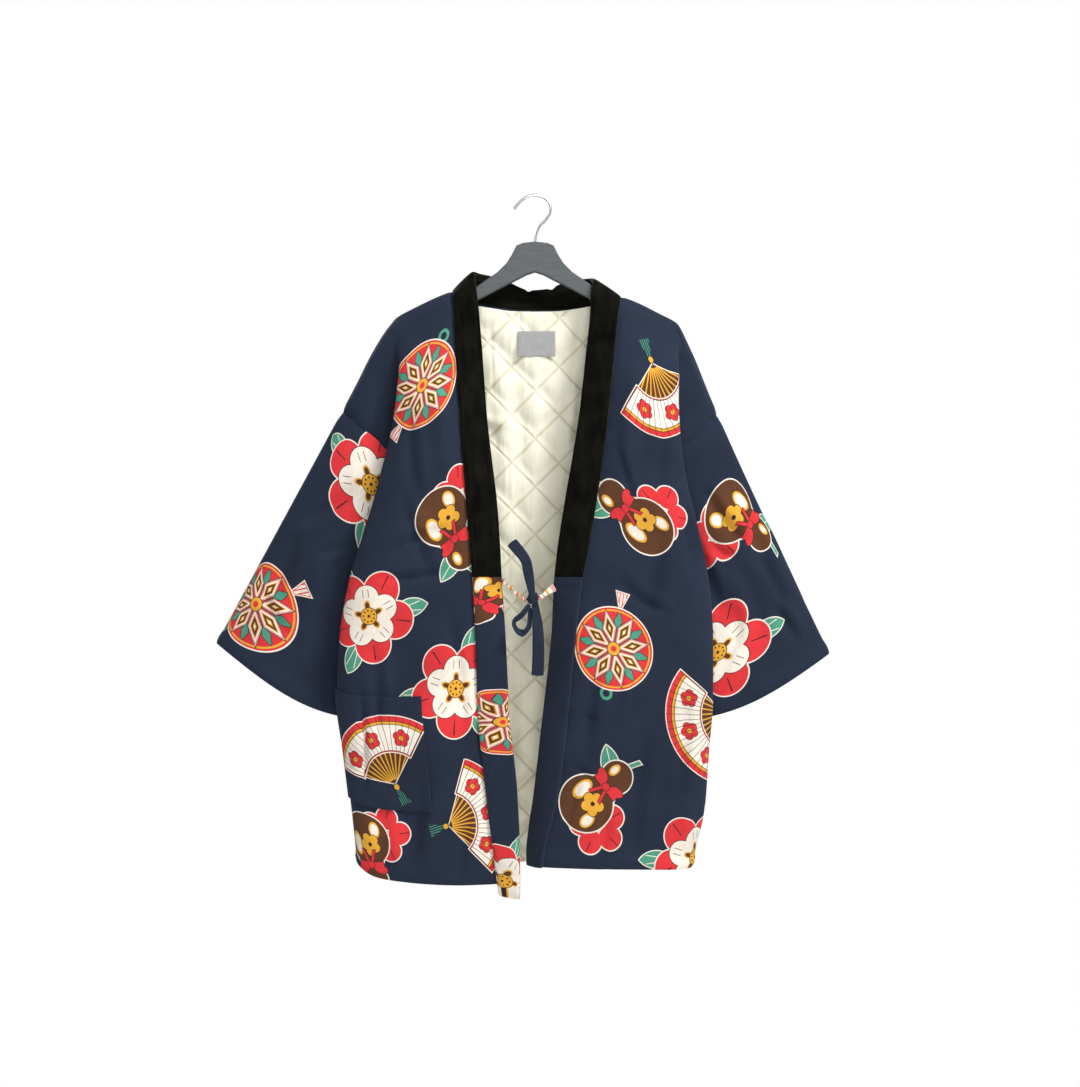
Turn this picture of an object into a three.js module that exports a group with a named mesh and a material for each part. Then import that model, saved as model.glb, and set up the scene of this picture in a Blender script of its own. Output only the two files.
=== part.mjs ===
// A hanten: a padded Japanese short coat of printed cotton with a velvet collar, hung on a flat wooden hanger.
// Millimetres. +Z up, the front faces -Y, and the wearer's right side is at -X.
// The origin is the inside top of the hanger's hook, where the hook bears on a rail or nail.
import * as THREE from 'three';

// ---------- driving sizes ----------
const PADDED = 5; // outer cotton, wadding and inner cotton of the coat's own wall
const SEAM_GAP = 0.4; // clearance between two sewn pieces
const BAND_THICK = 9; // the folded and stuffed collar band
const POCKET_WALL = 2;
const RIBBON_THICK = 2;
const SHOULDER_ROLL = 12; // outer radius of the cloth where it turns over the hanger
const WRAPPED = 20; // cloth that still lies against the hanger's top, measured down from the shoulder
const SHOULDER_SLOPE = 160; // how far down the cloth the slope of the shoulder can be felt
const TURN_START = 8; // how far in from its outer fold the cloth starts to turn
const HANGING_CLOSED = 0.6; // half the slit of a closed seam under the arm and down the side
const ARMHOLE = 240; // depth of the armhole, measured down the cloth from the shoulder
const ARMHOLE_HALF = 17; // half the thickness of the sleeve where it joins the body
const FRONT_LONG = 770; // shoulder to hem down the front, at the fold
const BACK_LONG = 790;
const NECK_DROP = 34; // cloth from the shoulder line down to the centre of the back neck
const CENTRE_BACK_Z = -162; // the neck seam at the centre back
const BACK_HEM_Z = -970;
const VELVET_END_Z = -551; // where the velvet collar stops and the printed band begins
const QUILT_CELL = 17.5; // a quarter of a 70 mm quilted diamond
const QUILT_RISE = 3.5;
const LINING_WALL = 1.6;

// One entry for each side of the wearer. Heights are those of the shoulder line and the front hem.
const SIDES = {
  right: { sign: -1, shoulderZ: [-136, -148, -162, -174, -183], hemSeamZ: -985, hemFoldZ: -957, hemSag: 18 },
  left: { sign: 1, shoulderZ: [-144, -155, -169, -180, -188], hemSeamZ: -961, hemFoldZ: -963, hemSag: 1 },
};

// ---------- tables with named columns ----------
const table = (names, rows) => {
  const columns = {};
  names.split(/\s+/).forEach((name, i) => { columns[name] = rows.map((row) => row[i]); });
  return columns;
};

// Smooth curve through a column's values that never swings past them (monotone cubic).
const along = (at, values) => {
  const n = at.length;
  const slope = at.slice(1).map((x, i) => (values[i + 1] - values[i]) / (x - at[i]));
  const tangent = values.map((_, i) => {
    if (i === 0) return slope[0];
    if (i === n - 1) return slope[n - 2];
    return slope[i - 1] * slope[i] <= 0 ? 0 : 2 * slope[i - 1] * slope[i] / (slope[i - 1] + slope[i]);
  });
  return (x) => {
    let i = 0;
    while (i < n - 2 && x > at[i + 1]) i += 1;
    const wide = at[i + 1] - at[i];
    const t = THREE.MathUtils.clamp((x - at[i]) / wide, 0, 1);
    const back = 1 - t;
    return back * back * (1 + 2 * t) * values[i] + back * back * t * wide * tangent[i]
      + t * t * (3 - 2 * t) * values[i + 1] - t * t * back * wide * tangent[i + 1];
  };
};
const curves = (columns, key) => Object.fromEntries(
  Object.keys(columns).filter((name) => name !== key).map((name) => [name, along(columns[key], columns[name])]));

// Distances out from the centre of the coat, on the wearer's right, for each course down the cloth from the
// shoulder: the fold that hangs off the hanger's end, the cloth just past it, the inside of the tuck behind it,
// the dropped shoulder and the armhole or side seam. foldLeft and endLeft say how much further out the left lies.
const ACROSS = curves(table('down fold after tuck drop end foldLeft endLeft', [
  [0, 207, 220, 239, 260, 281, 2, -15],
  [20, 203, 214, 230, 249, 268, 5, -14],
  [40, 196, 203, 214, 236, 257, 9, -12],
  [70, 195, 190, 188, 210, 236, 12, -10],
  [110, 198, 184, 172, 188, 209, 8, -8],
  [150, 203, 187, 166, 176, 189, 3, -6],
  [195, 212, 196, 172, 168, 172, -1, -6],
  [240, 224, 208, 183, 168, 160, -5, -6],
  [300, 242, 226, 196, 168, 156, -10, -8],
  [370, 264, 248, 214, 178, 161, -16, -12],
  [450, 278, 262, 228, 190, 172, -24, -16],
  [530, 282, 266, 234, 200, 182, -28, -18],
  [610, 272, 256, 228, 200, 184, -24, -18],
  [690, 262, 246, 218, 192, 178, -20, -18],
  [790, 251, 235, 206, 182, 170, -32, -20],
]), 'down');

// How far each of those lines lies below the fold, and how far the cloth stands from the hanger's plane.
const DEPTH = curves(table('down afterLag tuckLag dropLag endLag front frontRound back backRound tuckOut dropOut', [
  [0, 17, 49, 91, 131, 0, 1, 0, 1, 0, 0],
  [20, 17, 46, 86, 125, 12, 1, 12, 1, 12, 12],
  [40, 14, 42, 80, 115, 23, 5, 22, 4.5, 13, 14],
  [70, 8, 30, 67, 101, 38, 9, 35, 8, 16, 15.5],
  [110, 5, 22, 54, 83, 48, 12, 43, 10, 21, 16.5],
  [150, 4, 19, 44, 66, 54, 13, 48, 11, 25, 17.5],
  [195, 3, 14, 34, 53, 59, 14.5, 51, 12, 26, 20],
  [240, 2, 11, 28, 46, 62, 16, 53, 13, 26, 22],
  [300, 2, 8, 18, 30, 64, 16, 53, 13, 26, 23],
  [370, 0, 4, 12, 20, 65, 16, 53, 13, 26, 23],
  [530, 0, 0, 3, 6, 67, 16, 54, 13, 27, 24],
  [790, 0, 0, 0, 0, 66, 16, 55, 13, 28, 24],
]), 'down');

// The collar band, by height: its sewn edge, its free edge, their distances in front of the hanger's plane, and
// how much higher the free edge stands.
const BANDS = {
  right: curves(table('z sewn free sewnOut freeOut lift', [
    [-989, 52, 21, 62, 70, -4],
    [-949, 57, 21, 65, 74, 0],
    [-852, 69, 25, 68, 78, 0],
    [-755, 79, 35, 68, 76, 0],
    [-624, 84, 42, 67, 70, 0],
    [-551, 88, 47, 65, 62, 0],
    [-467, 95, 52, 59, 49, 0],
    [-325, 106, 69, 46, 30, 2],
    [-224, 113, 77, 32, 17, 6],
    [-170, 116, 82, 21, 15, 12],
    [-152, 116.5, 85, 16, 18, 20],
    [-144, 117, 86.5, 10, 14, 24],
    [-138.5, 117, 88, 0, 8, 27],
  ]), 'z'),
  left: curves(table('z sewn free sewnOut freeOut lift', [
    [-965, 9, -11, 64, 34, 0],
    [-949, 11, -11, 65, 34, 0],
    [-852, 33, 0, 67, 40, 0],
    [-755, 45, 11, 67, 40, 0],
    [-624, 58, 25, 66, 38, 0],
    [-551, 67, 28, 64, 44, 0],
    [-467, 83, 39, 58, 44, 0],
    [-325, 103, 63, 45, 29, 2],
    [-224, 113, 75, 31, 17, 6],
    [-172, 119, 80, 21, 15, 11],
    [-161, 121, 80, 16, 19, 16],
    [-153, 121.5, 81.5, 10, 14, 20],
    [-147.5, 122, 83, 0, 8, 24],
  ]), 'z'),
};

// ---------- solids from sections ----------
const lerp = THREE.MathUtils.lerp;
const at = (side, out, depth, z) => new THREE.Vector3(SIDES[side].sign * out, depth, z);
const range = (n) => Array.from({ length: n }, (_, i) => i);

// A closed surface from points and faces; faces that enclose a negative volume are turned to point outwards.
const geometryOf = (points, faces) => {
  const corners = faces.flatMap((face) => (face.length === 3 ? [face] : [face.slice(0, 3), face.slice(3)]));
  const volume = corners.reduce((sum, [a, b, c]) => sum + points[a].dot(points[b].clone().cross(points[c])), 0);
  const index = volume < 0 ? corners.map(([a, b, c]) => [a, c, b]) : corners;
  return new THREE.BufferGeometry()
    .setAttribute('position', new THREE.Float32BufferAttribute(points.flatMap((p) => p.toArray()), 3))
    .setIndex(index.flat());
};

// Normals of a grid of points; wraps across where the section closes on itself.
const gridNormals = (grid, closed) => grid.map((row, i) => row.map((_, j) => {
  const n = row.length;
  const before = closed ? (j + n - 1) % n : Math.max(j - 1, 0);
  const after = closed ? (j + 1) % n : Math.min(j + 1, n - 1);
  const across = row[after].clone().sub(row[before]);
  const down = grid[Math.min(i + 1, grid.length - 1)][j].clone().sub(grid[Math.max(i - 1, 0)][j]);
  return across.cross(down).normalize();
}));

// A closed wall between a grid of outer points and the same grid moved inwards. facing is 1 where the outer side
// is on the side of across x down. squareStart keeps the first column's edge in its own upright plane.
const wall = (grid, thick, { facing = 1, closed = false, squareStart = false } = {}) => {
  const normals = gridNormals(grid, closed);
  if (squareStart) normals.forEach((row) => row[0].setX(0).normalize());
  const rows = grid.length;
  const n = grid[0].length;
  const inner = grid.map((row, i) => row.map((p, j) => p.clone().addScaledVector(normals[i][j], -facing * thick)));
  const points = [...grid.flat(), ...inner.flat()];
  const outerAt = (i, j) => i * n + (j % n);
  const innerAt = (i, j) => rows * n + i * n + (j % n);
  const quad = (a, b, c, d) => [a, b, c, a, c, d];
  const faces = [];
  const columns = closed ? n : n - 1;
  for (let i = 0; i < rows - 1; i += 1) {
    for (let j = 0; j < columns; j += 1) {
      faces.push(quad(outerAt(i, j), outerAt(i, j + 1), outerAt(i + 1, j + 1), outerAt(i + 1, j)));
      faces.push(quad(innerAt(i, j), innerAt(i + 1, j), innerAt(i + 1, j + 1), innerAt(i, j + 1)));
    }
  }
  for (let j = 0; j < columns; j += 1) {
    faces.push(quad(outerAt(0, j), innerAt(0, j), innerAt(0, j + 1), outerAt(0, j + 1)));
    const last = rows - 1;
    faces.push(quad(outerAt(last, j), outerAt(last, j + 1), innerAt(last, j + 1), innerAt(last, j)));
  }
  if (!closed) {
    for (let i = 0; i < rows - 1; i += 1) {
      faces.push(quad(outerAt(i, 0), outerAt(i + 1, 0), innerAt(i + 1, 0), innerAt(i, 0)));
      faces.push(quad(outerAt(i, n - 1), innerAt(i, n - 1), innerAt(i + 1, n - 1), outerAt(i + 1, n - 1)));
    }
  }
  return geometryOf(points, faces);
};

// A closed bar through rings of points, with a fan over each end; the last end bulges by endBulge.
const bar = (rings, endBulge = 0) => {
  const n = rings[0].length;
  const middle = (ring) => ring.reduce((sum, p) => sum.add(p), new THREE.Vector3()).divideScalar(n);
  const end = middle(rings[rings.length - 1]);
  const onward = end.clone().sub(middle(rings[rings.length - 2])).normalize();
  const points = [...rings.flat(), middle(rings[0]), end.addScaledVector(onward, endBulge)];
  const first = points.length - 2;
  const faces = [];
  for (let j = 0; j < n; j += 1) {
    const k = (j + 1) % n;
    for (let i = 0; i < rings.length - 1; i += 1) {
      faces.push([i * n + j, i * n + k, (i + 1) * n + k], [i * n + j, (i + 1) * n + k, (i + 1) * n + j]);
    }
    const last = (rings.length - 1) * n;
    faces.push([first, k, j], [first + 1, last + j, last + k]);
  }
  return geometryOf(points, faces);
};

// A flat oval ring whose width runs from one edge point to the other, square to the direction of travel.
const OVAL_SIDES = 10;
const signedPower = (value, power) => Math.sign(value) * Math.abs(value) ** power;
const ovalRing = (edge, other, travel, thick) => {
  const middle = edge.clone().add(other).multiplyScalar(0.5);
  const half = other.clone().sub(edge).multiplyScalar(0.5);
  const through = half.clone().cross(travel).normalize().multiplyScalar(thick / 2);
  return range(OVAL_SIDES).map((i) => {
    const turn = (2 * Math.PI * i) / OVAL_SIDES;
    return middle.clone()
      .addScaledVector(half, signedPower(Math.cos(turn), 0.7))
      .addScaledVector(through, signedPower(Math.sin(turn), 0.5));
  });
};
const strip = (edges, thick, endBulge) => bar(edges.map(([edge, other], i) => {
  const before = edges[Math.max(i - 1, 0)];
  const after = edges[Math.min(i + 1, edges.length - 1)];
  const travel = after[0].clone().add(after[1]).sub(before[0]).sub(before[1]);
  return ovalRing(edge, other, travel, thick);
}), endBulge);

// ---------- collar band ----------
const bandEdges = (side, z) => {
  const band = BANDS[side];
  return [at(side, band.sewn(z), -band.sewnOut(z), z), at(side, band.free(z), -band.freeOut(z), z + band.lift(z))];
};
const SHOULDER_BAND_Z = { right: -138.5, left: -147.5 }; // where the collar crosses the shoulder line

// ---------- body: front and back of one side, cut in one piece over the shoulder ----------
const dropOf = (down) => (down < SHOULDER_ROLL * Math.PI / 2
  ? SHOULDER_ROLL * (1 - Math.cos(down / SHOULDER_ROLL))
  : down - SHOULDER_ROLL * (Math.PI / 2 - 1));
const rollOf = (down) => SHOULDER_ROLL * Math.sin(Math.min(down / SHOULDER_ROLL, Math.PI / 2));
const armholeOut = (share) => {
  const round = Math.sqrt(Math.max(0, 1 - Math.abs(2 * share - 1) ** 3));
  return Math.max(ARMHOLE_HALF * round, HANGING_CLOSED);
};

const foldHeight = (side, face, down) => {
  const long = face === 'front' ? FRONT_LONG : BACK_LONG;
  const hem = face === 'front' ? SIDES[side].hemFoldZ : BACK_HEM_Z + 4;
  const top = SIDES[side].shoulderZ[4];
  return top + ((hem - top) * dropOf(down)) / dropOf(long);
};

// The armhole above the underarm and the side seam below it.
const endOf = (side, face, down) => {
  const left = side === 'left' ? ACROSS.endLeft(down) : 0;
  const out = down <= ARMHOLE ? armholeOut(down / ARMHOLE) : HANGING_CLOSED;
  return at(side, ACROSS.end(down) + left, face === 'front' ? -out : out,
    foldHeight(side, face, down) - DEPTH.endLag(down));
};

// Where a course starts: at the collar band in front, and at the back neck or the centre back seam behind.
const startOf = (side, face, down) => {
  const top = SIDES[side].shoulderZ[0];
  if (face === 'front') {
    const z = top + ((SIDES[side].hemSeamZ - top) * dropOf(down)) / dropOf(FRONT_LONG);
    const band = BANDS[side];
    const rolledIn = Math.max(0, band.sewnOut(z) - band.freeOut(z));
    return at(side, band.sewn(z) + SEAM_GAP + Math.max(0.1, 0.4 - down / 100) + rolledIn * 0.05,
      -Math.max(band.sewnOut(z), 0.8 * rollOf(down)), z);
  }
  const neck = BANDS[side].sewn(top) + 2 * SEAM_GAP;
  if (down < NECK_DROP) {
    const turn = (down / NECK_DROP) * (Math.PI / 2);
    return at(side, Math.max(neck * Math.cos(turn), SEAM_GAP / 2), 30 * Math.sin(turn),
      lerp(top, CENTRE_BACK_Z, Math.sin(turn) ** 1.4));
  }
  const share = (down - NECK_DROP) / (BACK_LONG - NECK_DROP);
  return at(side, SEAM_GAP / 2, lerp(30, 44, Math.min(1, share * 5)), lerp(CENTRE_BACK_Z, BACK_HEM_Z, share));
};

// Shallow upright waves in the hanging cloth, deeper towards the hem.
const wave = (face, out, down) => {
  const deep = 3.2 * THREE.MathUtils.smoothstep(down, 120, 760);
  return face === 'front' ? deep * Math.sin(out / 21 + down / 260) : deep * Math.sin(out / 26 + 0.8 + down / 420);
};

// Control points of one course of cloth, from its start to the armhole or side seam.
const course = (side, face, down) => {
  const facing = face === 'front' ? -1 : 1;
  const wrapped = down < WRAPPED ? rollOf(down) : null;
  const deep = Math.min(DEPTH[face](down), wrapped ?? Infinity);
  const round = DEPTH[`${face}Round`](down);
  const left = side === 'left' ? 1 : 0;
  const inFrom = face === 'front' ? 0 : 5 * THREE.MathUtils.smoothstep(down, 60, 200);
  const shift = (share) => left * lerp(ACROSS.foldLeft(down), ACROSS.endLeft(down), share) - inFrom * (1 - share);
  const fold = ACROSS.fold(down) + shift(0);
  const z = foldHeight(side, face, down);
  const start = startOf(side, face, down);
  const startOut = Math.abs(start.x);
  const shoulder = SIDES[side].shoulderZ;
  const slope = Math.max(0, 1 - down / SHOULDER_SLOPE);
  const sag = face === 'front' ? SIDES[side].hemSag * (down / FRONT_LONG) ** 2 : 0;
  const flat = (share, i) => {
    const out = lerp(startOut, fold - TURN_START - round, share);
    const depth = lerp(Math.abs(start.y), deep, share) + 5 * Math.sin(Math.PI * share) * Math.min(1, down / 200);
    const levelled = face === 'back' && down > 0 ? Math.min(1, down / 400) * share : 0;
    const height = lerp(shoulder[i], shoulder[4], levelled);
    const drop = lerp(start.z, z, share) + (height - lerp(shoulder[0], shoulder[4], share)) * slope;
    return at(side, out, facing * (depth + wave(face, out, down)), drop - sag * Math.sin(Math.PI * share ** 1.6));
  };
  const knee = 0.94; // how far out the cloth starts to turn into the fold
  const kneeZ = lerp(start.z, z, knee) - sag * 0.8 + (shoulder[3] - lerp(shoulder[0], shoulder[4], knee)) * slope;
  const past = (name, share, out) => at(side, ACROSS[name](down) + shift(share), facing * (wrapped ?? out),
    z - DEPTH[`${name}Lag`](down));
  return [
    start, flat(0.36, 1), flat(0.72, 2),
    at(side, fold - TURN_START - round, facing * deep, kneeZ),
    at(side, fold, facing * (wrapped ?? deep - round), z),
    past('after', 0.25, Math.max(deep - 2 * round, DEPTH.tuckOut(down))),
    past('tuck', 0.5, DEPTH.tuckOut(down)),
    past('drop', 0.75, DEPTH.dropOut(down)),
    endOf(side, face, down),
  ];
};

const PER_SPAN = [3, 3, 2, 2, 2, 2, 2, 2];
const spanSteps = PER_SPAN.flatMap((n, i) => range(n).map((k) => i + k / n)).concat(PER_SPAN.length);
const coursePoints = (side, face, down, steps = spanSteps) => {
  const curve = new THREE.CatmullRomCurve3(course(side, face, down), false, 'catmullrom', 0.5);
  return steps.map((s) => curve.getPoint(s / PER_SPAN.length));
};

// Courses lie close where the cloth turns over the shoulder and round the underarm, and wide apart lower down.
const LOWER_COURSES = [52, 70, 90, 110, 140, 170, 200, 220, 232, 240, 256, 280, 330, 390, 450, 510, 570, 630, 700];
const FRONT_COURSES = [6, 13, 20, 34, ...LOWER_COURSES, FRONT_LONG];
const BACK_COURSES = [6, 13, 20, 27, 34, ...LOWER_COURSES, BACK_LONG];
const bodyPiece = (side) => wall([
  ...FRONT_COURSES.slice().reverse().map((down) => coursePoints(side, 'front', down)),
  coursePoints(side, 'front', 0),
  ...BACK_COURSES.map((down) => coursePoints(side, 'back', down)),
], PADDED, { facing: side === 'right' ? -1 : 1, squareStart: true });

// ---------- sleeve: a flat tube from the armhole to the open cuff ----------
const SLEEVES = {
  right: { topBow: 0, cuffTop: [461, -646], cuffLow: [250, -757], cuffBow: 20, lowStart: [168, -468] },
  left: { topBow: -2, cuffTop: [426, -661], cuffLow: [226, -757], cuffBow: 15, lowStart: [160, -470] },
};
const SLEEVE_GAP = 1.6;
const CUFF_HALF = 20; // half the thickness of the sleeve at its cuff
const SLEEVE_RINGS = 10;
const SLEEVE_SIDES = 26;
const sleeveRing = (side, q) => {
  const { topBow, cuffTop, cuffLow, cuffBow, lowStart } = SLEEVES[side];
  const top = endOf(side, 'front', 0);
  const sign = SIDES[side].sign;
  const edge = (from, to, bow) => new THREE.Vector2(lerp(from[0], to[0], q) + bow * Math.sin(Math.PI * q ** 0.7),
    lerp(from[1], to[1], q));
  const high = edge([sign * top.x, top.z], cuffTop, topBow);
  const low = edge(lowStart, cuffLow, -3);
  const armhole = new THREE.Vector2(lowStart[0] - sign * top.x, lowStart[1] - top.z).normalize();
  const away = new THREE.Vector2(-armhole.y, armhole.x);
  const half = lerp(ARMHOLE_HALF, CUFF_HALF, q);
  return range(SLEEVE_SIDES).map((i) => {
    const turn = (2 * Math.PI * i) / SLEEVE_SIDES;
    const s = (1 - Math.cos(turn)) / 2;
    const facing = turn <= Math.PI ? -1 : 1;
    const seam = endOf(side, 'front', s * ARMHOLE);
    const chord = high.clone().lerp(low, s);
    const straight = new THREE.Vector2(sign * top.x, top.z).lerp(new THREE.Vector2(...lowStart), s);
    const bulge = new THREE.Vector2(sign * seam.x, seam.z).sub(straight).multiplyScalar((1 - q) ** 3);
    const spot = chord.add(bulge).addScaledVector(away, SLEEVE_GAP * (1 - q));
    spot.y -= cuffBow * q ** 3 * Math.sin(Math.PI * s ** 1.15);
    const soft = 2.2 * Math.sin(Math.PI * q) * Math.sin(5 * s + 3 * q) * Math.sin(Math.PI * s);
    const out = Math.max((half / ARMHOLE_HALF) * armholeOut(s), s > 0.5 ? HANGING_CLOSED : 0) + soft;
    return at(side, spot.x, facing * (Math.sin(turn) === 0 ? 0 : out), spot.y);
  });
};
const sleevePiece = (side) => wall(range(SLEEVE_RINGS).map((i) => sleeveRing(side, i / (SLEEVE_RINGS - 1))),
  PADDED, { facing: side === 'right' ? -1 : 1, closed: true });

// ---------- collar: velvet from one front round the back neck to the other ----------
const NECK = [ // out, back and height of the sewn edge, then of the free edge, from the right shoulder to the left
  [108, 11, -141.5, 80, 17, -110],
  [90, 19.5, -148.8, 64, 31, -112],
  [60, 26, -156.2, 38, 40, -120],
  [30, 29, -160.3, 20, 44, -128],
  [0, 30, -161.4, 0, 46, -132],
];
const neckEdges = (side, [sewn, back, z, free, freeBack, freeZ]) => {
  const lower = side === 'left' ? 7 * (sewn / NECK[0][0]) ** 2 : 0; // the left shoulder hangs lower
  return [at(side, sewn, back, z - lower), at(side, free, freeBack, freeZ - lower)];
};
const VELVET_Z = [VELVET_END_Z + SEAM_GAP, -500, -440, -380, -325, -270, -224, -195, -170];
const neckSteps = (side) => [...VELVET_Z, SHOULDER_BAND_Z[side] - 13, SHOULDER_BAND_Z[side] - 5.5,
  SHOULDER_BAND_Z[side]];
const collarPiece = () => strip([
  ...neckSteps('right').map((z) => bandEdges('right', z)),
  ...NECK.map((row) => neckEdges('right', row)),
  ...NECK.slice(0, -1).reverse().map((row) => neckEdges('left', row)),
  ...neckSteps('left').reverse().map((z) => bandEdges('left', z)),
], BAND_THICK);

// The printed band that carries on from the velvet to the hem; its right end hangs a little past the hem.
const BAND_END_Z = { right: -989, left: -961 };
const BAND_TIP = { right: 13, left: 2 };
const BAND_STEPS = 12;
const bandPiece = (side) => {
  const edges = range(BAND_STEPS).map((i) => bandEdges(side,
    lerp(VELVET_END_Z - SEAM_GAP, BAND_END_Z[side], i / (BAND_STEPS - 1))));
  return strip(edges, BAND_THICK - 0.5, BAND_TIP[side]);
};

// ---------- pocket: a patch on the right front ----------
const POCKET = { high: 528, low: 676, inner: 1.25, outer: 3.9, rows: 8, columns: 9, clear: 1.2 };
const pocketPiece = () => {
  const grid = range(POCKET.rows).map((i) => {
    const down = lerp(POCKET.low, POCKET.high, i / (POCKET.rows - 1));
    const steps = range(POCKET.columns).map((j) => lerp(POCKET.inner, POCKET.outer, j / (POCKET.columns - 1)));
    return coursePoints('right', 'front', down, steps);
  });
  const normals = gridNormals(grid, false);
  const lift = POCKET_WALL + POCKET.clear;
  const lifted = grid.map((row, i) => row.map((p, j) => p.clone().addScaledVector(normals[i][j], -lift)));
  return wall(lifted, POCKET_WALL, { facing: -1 });
};

// ---------- lining: quilted in diamonds, on the inside of the back ----------
const LINING = { columns: 20, rows: 46, top: -166, hem: -964, clear: 1.5 };
const NECK_HALF = 85;
// Depth of the back wall's inner face behind a spot, from the wall's own courses.
const flatSteps = spanSteps.filter((step) => step <= 3);
const backCourses = Object.fromEntries(['right', 'left'].map((side) => [side,
  BACK_COURSES.map((down) => coursePoints(side, 'back', down, flatSteps))]));
const backInside = (x, z) => {
  const rows = backCourses[x < 0 ? 'right' : 'left'];
  const out = Math.abs(x);
  const onRow = (row) => {
    const i = Math.max(1, row.findIndex((p) => Math.abs(p.x) >= out));
    const [from, to] = [Math.abs(row[i - 1].x), Math.abs(row[i].x)];
    return row[i - 1].clone().lerp(row[i], THREE.MathUtils.clamp((out - from) / (to - from), 0, 1));
  };
  const spots = rows.map(onRow);
  const i = Math.max(1, spots.findIndex((p) => p.z <= z));
  const [a, b] = [spots[i - 1], spots[i]];
  return lerp(a.y, b.y, THREE.MathUtils.clamp((a.z - z) / (a.z - b.z), 0, 1)) - PADDED - LINING.clear;
};
// Height of the quilting at a grid corner: nothing on the stitched diagonals, most in the middle of a diamond.
const quiltRise = (i, j) => {
  const rising = Math.abs((((i + j) % 4) + 4) % 4 - 2) / 2;
  const falling = Math.abs((((i - j) % 4) + 4) % 4 - 2) / 2;
  return QUILT_RISE * Math.min(1, (1 - rising) * 1.25) * Math.min(1, (1 - falling) * 1.25);
};
const liningSpot = (i, j) => {
  const x = (j - LINING.columns / 2) * QUILT_CELL;
  const out = Math.abs(x);
  const rise = out < NECK_HALF ? 8 * (out / NECK_HALF) ** 2 : 8 - 48 * Math.sin((out - NECK_HALF) / 64) ** 2;
  const z = lerp(LINING.top, LINING.hem, i / LINING.rows) + rise * Math.max(0, 1 - i / 6);
  return new THREE.Vector3(x, backInside(x, z), z);
};
const liningPiece = () => {
  const base = range(LINING.rows + 1).map((i) => range(LINING.columns + 1).map((j) => liningSpot(i, j)));
  const face = base.map((row, i) => row.map((p, j) => p.clone()
    .add(new THREE.Vector3(0, -LINING_WALL - quiltRise(i, j), 0))));
  const n = LINING.columns + 1;
  const points = [...face.flat()];
  const faces = [];
  for (let i = 0; i < LINING.rows; i += 1) {
    for (let j = 0; j < LINING.columns; j += 1) {
      const [a, b, c, d] = [i * n + j, i * n + j + 1, (i + 1) * n + j + 1, (i + 1) * n + j];
      faces.push((i + j) % 2 === 0 ? [a, d, b, b, d, c] : [a, d, c, a, c, b]);
    }
  }
  // The plain side is coarse: a few wide cells, joined to the fine rim by a border one coarse cell wide.
  const coarse = 2;
  const backAt = new Map();
  const backIndex = (i, j) => {
    const key = i * n + j;
    if (!backAt.has(key)) {
      backAt.set(key, points.length);
      points.push(base[i][j]);
    }
    return backAt.get(key);
  };
  for (let i = 0; i < LINING.rows; i += coarse) {
    for (let j = 0; j < LINING.columns; j += coarse) {
      const edge = [];
      const push = (a, b, onRim, stepI, stepJ) => {
        for (let k = 0; k < (onRim ? coarse : 1); k += 1) edge.push(backIndex(a + stepI * k, b + stepJ * k));
      };
      push(i, j, i === 0, 0, 1);
      push(i, j + coarse, j + coarse === LINING.columns, 1, 0);
      push(i + coarse, j + coarse, i + coarse === LINING.rows, 0, -1);
      push(i + coarse, j, j === 0, -1, 0);
      const middle = backIndex(i + coarse / 2, j + coarse / 2);
      edge.forEach((p, k) => faces.push([middle, p, edge[(k + 1) % edge.length]]));
    }
  }
  const rim = [
    ...range(LINING.columns).map((j) => [0, j, 0, j + 1]),
    ...range(LINING.rows).map((i) => [i, LINING.columns, i + 1, LINING.columns]),
    ...range(LINING.columns).map((j) => [LINING.rows, LINING.columns - j, LINING.rows, LINING.columns - j - 1]),
    ...range(LINING.rows).map((i) => [LINING.rows - i, 0, LINING.rows - i - 1, 0]),
  ];
  rim.forEach(([i0, j0, i1, j1]) => {
    const [a, b] = [i0 * n + j0, i1 * n + j1];
    const [c, d] = [backIndex(i0, j0), backIndex(i1, j1)];
    faces.push([a, b, d, a, d, c]);
  });
  return geometryOf(points, faces);
};

// A plain woven label sewn on the lining below the neck.
const LABEL = { wide: 54, high: 36, middle: [2, -212], thick: 0.8 };
const labelPiece = () => {
  const [x, z] = LABEL.middle;
  const grid = [0.5, 0, -0.5].map((v) => [-0.5, 0, 0.5].map((u) => {
    const spot = new THREE.Vector3(x + u * LABEL.wide, 0, z + v * LABEL.high);
    spot.y = backInside(spot.x, spot.z) - LINING_WALL - QUILT_RISE - SEAM_GAP - LABEL.thick;
    return spot;
  }));
  return wall(grid, LABEL.thick, { facing: 1 });
};

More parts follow.
